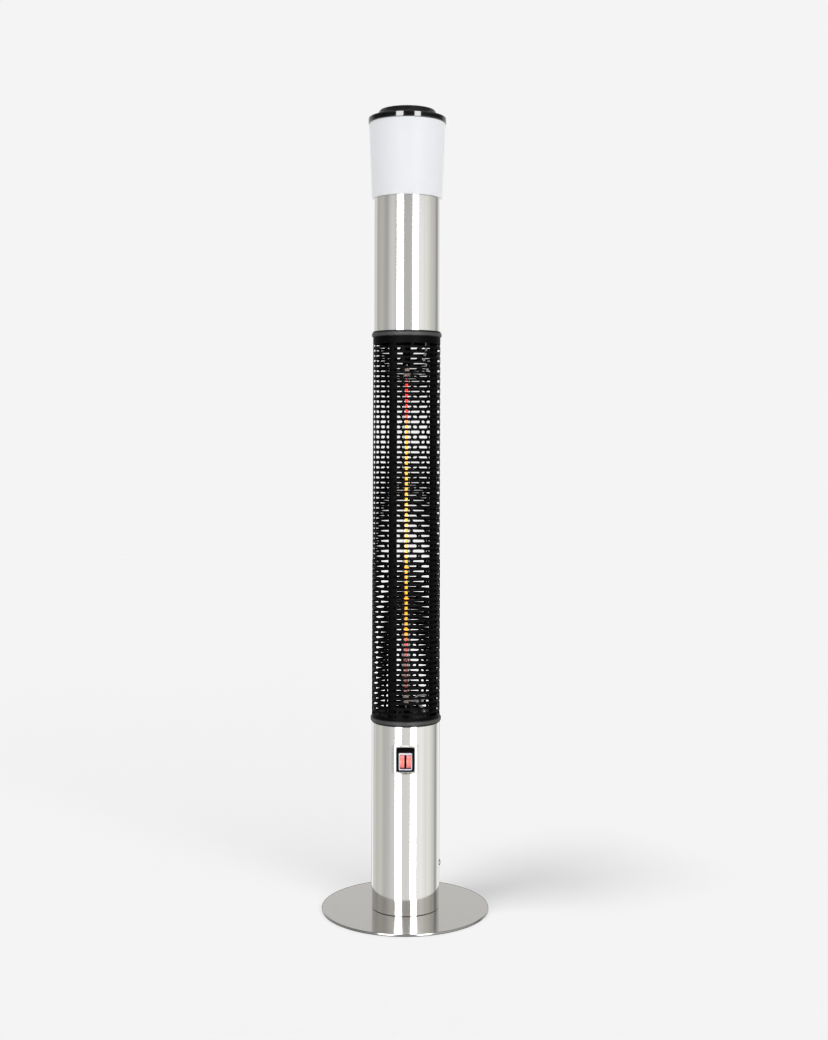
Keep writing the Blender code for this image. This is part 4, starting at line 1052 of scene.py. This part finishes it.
def make_leads():
    """Each lead bends away from its lamp end and runs through the bulkhead's hole."""
    end = 5.3 * MM
    hole_x, hole_y = 29 * MM, 5 * MM
    foot, roof = low("lead_wire_lower").z, high("lead_wire_upper").z
    low_end = middle_of("lamp_end_lower").z + 1.5 * MM
    make_lead("lead_wire_lower", [
        (end, 0, low_end), (0.012, -0.003, low_end), (0.020, -0.006, low_end + 0.001),
        (0.028, -0.005, low_end + 0.0035), (0.032, 0.000, low_end + 0.006),
        (0.027, 0.005, low_end + 0.0075), (0.019, 0.005, low_end + 0.007),
        (0.0145, 0.009, low_end + 0.002), (0.018, 0.012, low_end - 0.006),
        (0.025, 0.009, low_end - 0.013), (hole_x, hole_y, low_end - 0.021),
        (hole_x, hole_y, foot),
    ])
    high_end = middle_of("lamp_end_upper").z - 3 * MM
    make_lead("lead_wire_upper", [
        (end, 0, high_end), (0.013, -0.002, high_end + 0.0005), (0.022, -0.004, high_end - 0.001),
        (0.030, -0.002, high_end + 0.002), (0.0315, 0.003, high_end + 0.010),
        (0.026, 0.008, high_end + 0.020), (hole_x, hole_y, high_end + 0.034),
        (hole_x, hole_y, high_end + 0.050), (hole_x, hole_y, roof),
    ])


# ---- shade and cap
def make_shade():
    bottom, top = heights_of("lamp_shade")
    top_r, bottom_r, wall = radius_of("lamp_shade"), 53.1 * MM, 3.0 * MM
    edge = 0.6 * MM
    outline = [(bottom_r - wall, bottom, 0.5 * MM), (bottom_r, bottom, 1.1 * MM),
               (top_r, top, edge), (top_r - wall, top, edge)]
    turned("lamp_shade", outline, 192)


def make_cap():
    """Cap with a conical disc on a wide rim; a boss under it takes the tie rod."""
    radius, lip, disc = radius_of("top_cap"), 54.0 * MM, 42.0 * MM
    foot, bottom, top = low("top_cap").z, high("lamp_shade").z + GAP, high("top_cap").z
    wall, boss, bore = 2 * MM, 6.2 * MM, 3.3 * MM
    roof = high("tie_rod").z + GAP
    outline = [
        (0, top, 0),
        (disc, top, 2.4 * MM),
        (disc + 3.4 * MM, top - 6.0 * MM, 2.0 * MM),
        (disc + 5.4 * MM, top - 8.8 * MM, 1.6 * MM),
        (radius, bottom + 8.4 * MM, 1.6 * MM),
        (radius, bottom, 0.7 * MM),
        (lip, bottom, 0),
        (lip, foot, 0.4 * MM),
        (lip - wall, foot, 0.4 * MM),
        (lip - wall, bottom + 5 * MM, 1.0 * MM),
        (disc - wall, bottom + 7 * MM, 0.8 * MM),
        (disc - wall, top - wall, 0.8 * MM),
        (boss, top - wall, 0.6 * MM),
        (boss, bottom + wall, 0.4 * MM),
        (bore, bottom + wall, 0),
        (bore, roof, 0),
        (0, roof, 0),
    ]
    turned("top_cap", outline, 192)


# ---- stage
SENSOR, FOCAL = 36, 49.6                   # mm
EYE = Vector((0.0113, -2.164, 0.719))
ROLL = 0.16                                # degrees
SHIFT_Y = -0.0843                          # keeps the camera level with the whole heater in view
PAGE = 0.905                               # linear value of the plain pale background
FLOOR_R = 6.0


def make_camera():
    data = bpy.data.cameras.new("front_camera")
    data.lens = FOCAL
    data.sensor_width = SENSOR
    data.shift_y = SHIFT_Y
    camera = add_object("front_camera", data)
    look = Matrix.Rotation(pi / 2, 4, "X") @ Matrix.Rotation(radians(ROLL), 4, "Z")
    camera.matrix_world = Matrix.Translation(EYE) @ look
    bpy.context.scene.camera = camera


def make_floor():
    shape = bmesh.new()
    bmesh.ops.create_circle(shape, cap_ends=True, segments=96, radius=FLOOR_R)
    mesh = bpy.data.meshes.new("floor")
    shape.to_mesh(mesh)
    shape.free()
    floor = add_object("floor", mesh)
    made = Finish("pale_floor", (0.90, 0.90, 0.90), 0.6)
    mesh.materials.append(made.material)
    floor.is_shadow_catcher = True
    floor.visible_glossy = False


# Azimuth from behind the heater round by its left to behind again, then what the studio shows there
# above eye level, what it shows below, and how much blue there is in both.
STUDIO = (
    (-180, 1.12, 1.12, 0.99), (-150, 1.12, 1.12, 0.99), (-140, 0.76, 0.80, 0.99),
    (-128, 0.92, 0.80, 0.98), (-118, 0.58, 0.75, 0.95), (-106, 0.62, 0.75, 0.94),
    (-95, 0.68, 0.84, 0.94), (-85, 0.62, 0.70, 0.98), (-72, 0.55, 0.62, 1.0),
    (-62, 0.72, 0.72, 1.0), (-50, 0.88, 0.82, 1.0), (-40, 0.86, 0.87, 1.0),
    (-9, 0.69, 0.94, 1.0), (12, 0.70, 0.96, 1.0), (19, 0.74, 1.00, 1.0), (40, 1.12, 1.30, 1.01),
    (50, 1.19, 1.24, 1.0), (63, 1.12, 1.20, 0.98), (71, 1.02, 1.12, 0.97), (89, 0.86, 1.08, 0.95),
    (100, 0.73, 0.96, 0.98), (111, 0.72, 0.82, 0.98), (119, 0.46, 0.50, 1.0),
    (126, 0.42, 0.46, 1.0), (136, 0.86, 0.90, 0.99), (150, 1.12, 1.12, 0.99), (180, 1.12, 1.12, 0.99),
)
# Height of the direction, then how much of that shows in front of the heater and behind it.
STUDIO_HEIGHTS = (
    (-1.0, 1.6, 1.2), (-0.75, 1.6, 1.2), (-0.60, 1.0, 1.0), (0.175, 1.0, 1.0), (0.192, 0.12, 0.75),
    (0.255, 0.12, 0.66), (0.275, 1.04, 0.66), (0.40, 1.04, 0.66), (0.46, 0.22, 0.35),
    (1.0, 0.22, 0.35),
)
BEHIND = (110, 130)                        # azimuths where the front ends and the back begins
EYE_LEVEL = (-0.14, 0.02)                  # heights between which the lower panels meet the upper


def make_world():
    """Pale page for the eye, and a studio of grey and beige panels for reflections and fill."""
    world = bpy.data.worlds.new("studio")
    world.use_nodes = True
    bpy.context.scene.world = world
    nodes, links = world.node_tree.nodes, world.node_tree.links
    nodes.clear()
    where = nodes.new("ShaderNodeTexCoord")
    split = nodes.new("ShaderNodeSeparateXYZ")
    links.new(where.outputs["Generated"], split.inputs["Vector"])
    front, azimuth = (nodes.new("ShaderNodeMath") for _ in range(2))
    front.operation, azimuth.operation = "MULTIPLY", "ARCTAN2"
    front.inputs[1].default_value = -1
    links.new(split.outputs["Y"], front.inputs[0])
    links.new(split.outputs["X"], azimuth.inputs[0])
    links.new(front.outputs["Value"], azimuth.inputs[1])
    around, upward = (nodes.new("ShaderNodeMapRange") for _ in range(2))
    around.inputs["From Min"].default_value = -pi
    around.inputs["From Max"].default_value = pi
    links.new(azimuth.outputs["Value"], around.inputs["Value"])
    upward.inputs["From Min"].default_value = -1
    links.new(split.outputs["Z"], upward.inputs["Value"])

    def ramp_along(source, stops):
        ramp = colour_ramp(nodes, stops)
        links.new(source.outputs["Result"], ramp.inputs["Fac"])
        return ramp.outputs["Color"]

    def by_azimuth(stops):
        return ramp_along(around, [((angle + 180) / 360, colour) for angle, colour in stops])

    def by_height(stops):
        return ramp_along(upward, [((z + 1) / 2, (value,) * 3) for z, value in stops])

    def blend(factor, first, second, kind="MIX"):
        mix = nodes.new("ShaderNodeMixRGB")
        mix.blend_type = kind
        mix.inputs["Fac"].default_value = 1.0
        for source, socket in ((factor, "Fac"), (first, "Color1"), (second, "Color2")):
            if source is not None:
                links.new(source, mix.inputs[socket])
        return mix.outputs["Color"]

    upper, lower = (by_azimuth([(row[0], (row[part], row[part], row[part] * row[3])) for row in STUDIO])
                    for part in (1, 2))
    start, end = BEHIND
    back = by_azimuth([(-end, (1, 1, 1)), (-start, (0, 0, 0)), (start, (0, 0, 0)), (end, (1, 1, 1))])
    panels = blend(by_height([(EYE_LEVEL[0], 0.0), (EYE_LEVEL[1], 1.0)]), lower, upper)
    ahead, behind = (by_height([(row[0], row[part]) for row in STUDIO_HEIGHTS]) for part in (1, 2))
    page, studio = (nodes.new("ShaderNodeBackground") for _ in range(2))
    page.inputs["Color"].default_value = (PAGE, PAGE, PAGE, 1)
    links.new(blend(None, panels, blend(back, ahead, behind), "MULTIPLY"), studio.inputs["Color"])
    seen = nodes.new("ShaderNodeMixShader")
    path = nodes.new("ShaderNodeLightPath")
    links.new(path.outputs["Is Camera Ray"], seen.inputs["Fac"])
    links.new(studio.outputs["Background"], seen.inputs[1])
    links.new(page.outputs["Background"], seen.inputs[2])
    output = nodes.new("ShaderNodeOutputWorld")
    links.new(seen.outputs["Shader"], output.inputs["Surface"])


# Name, azimuth in degrees from the camera's side towards +X, distance, height, width, length, power,
# height that it faces on the column, and how many degrees its top leans towards +X.
STRIPS = (("strip_left", -23.0, 2.5, 0.75, 0.92, 3.6, 96, 0.75, 3.0),
          ("strip_right", 28.5, 2.5, 0.75, 0.80, 3.6, 84, 0.75, 5.0))
SOFTBOXES = (("key", -56, 0.62, 3.3, 0.50, 0.50, 31, 0.2, 0.0),
             ("fill", 24, 3.0, 2.2, 2.5, 2.5, 44, 0.7, 0.0))


def add_area_light(name, azimuth, distance, height, width, length, power, aim, lean):
    """Rectangular light that faces the column."""
    data = bpy.data.lights.new(name, "AREA")
    data.shape = "RECTANGLE"
    data.size = width
    data.size_y = length
    data.energy = power
    light = add_object(name, data)
    angle = radians(azimuth)
    place = Vector((distance * sin(angle), -distance * cos(angle), height))
    light.location = place
    towards = Vector((0, 0, aim)) - place
    turn = towards.to_track_quat("-Z", "Y").to_matrix() @ Matrix.Rotation(-radians(lean), 3, "Z")
    light.rotation_euler = turn.to_euler()
    return light


def make_lights():
    """Strips that only polished surfaces show, and softboxes that light the rest unseen."""
    for row in STRIPS:
        add_area_light(*row).visible_diffuse = False
    for row in SOFTBOXES:
        add_area_light(*row).visible_glossy = False


def make_settings():
    scene = bpy.context.scene
    scene.view_settings.view_transform = "Standard"
    scene.view_settings.look = "None"


# ---- the whole heater
make_camera()
make_settings()
finish_cad_nodes()
make_base()
make_lower_tube()
make_upper_tube()
make_rings()
make_wall_screw("side_screw", 0)
for rear in ("rear_screw", "collar_screw_lower", "collar_screw_upper"):
    make_wall_screw(rear, 90)
make_cable_gland()
make_switch_frame()
make_switch_seal()
for hand in ("left", "right"):
    make_rocker(f"rocker_{hand}", f"{hand}_rocker")
make_guard()
make_posts()
make_lamp()
make_leads()
make_shade()
make_cap()
make_floor()
make_world()
make_lights()
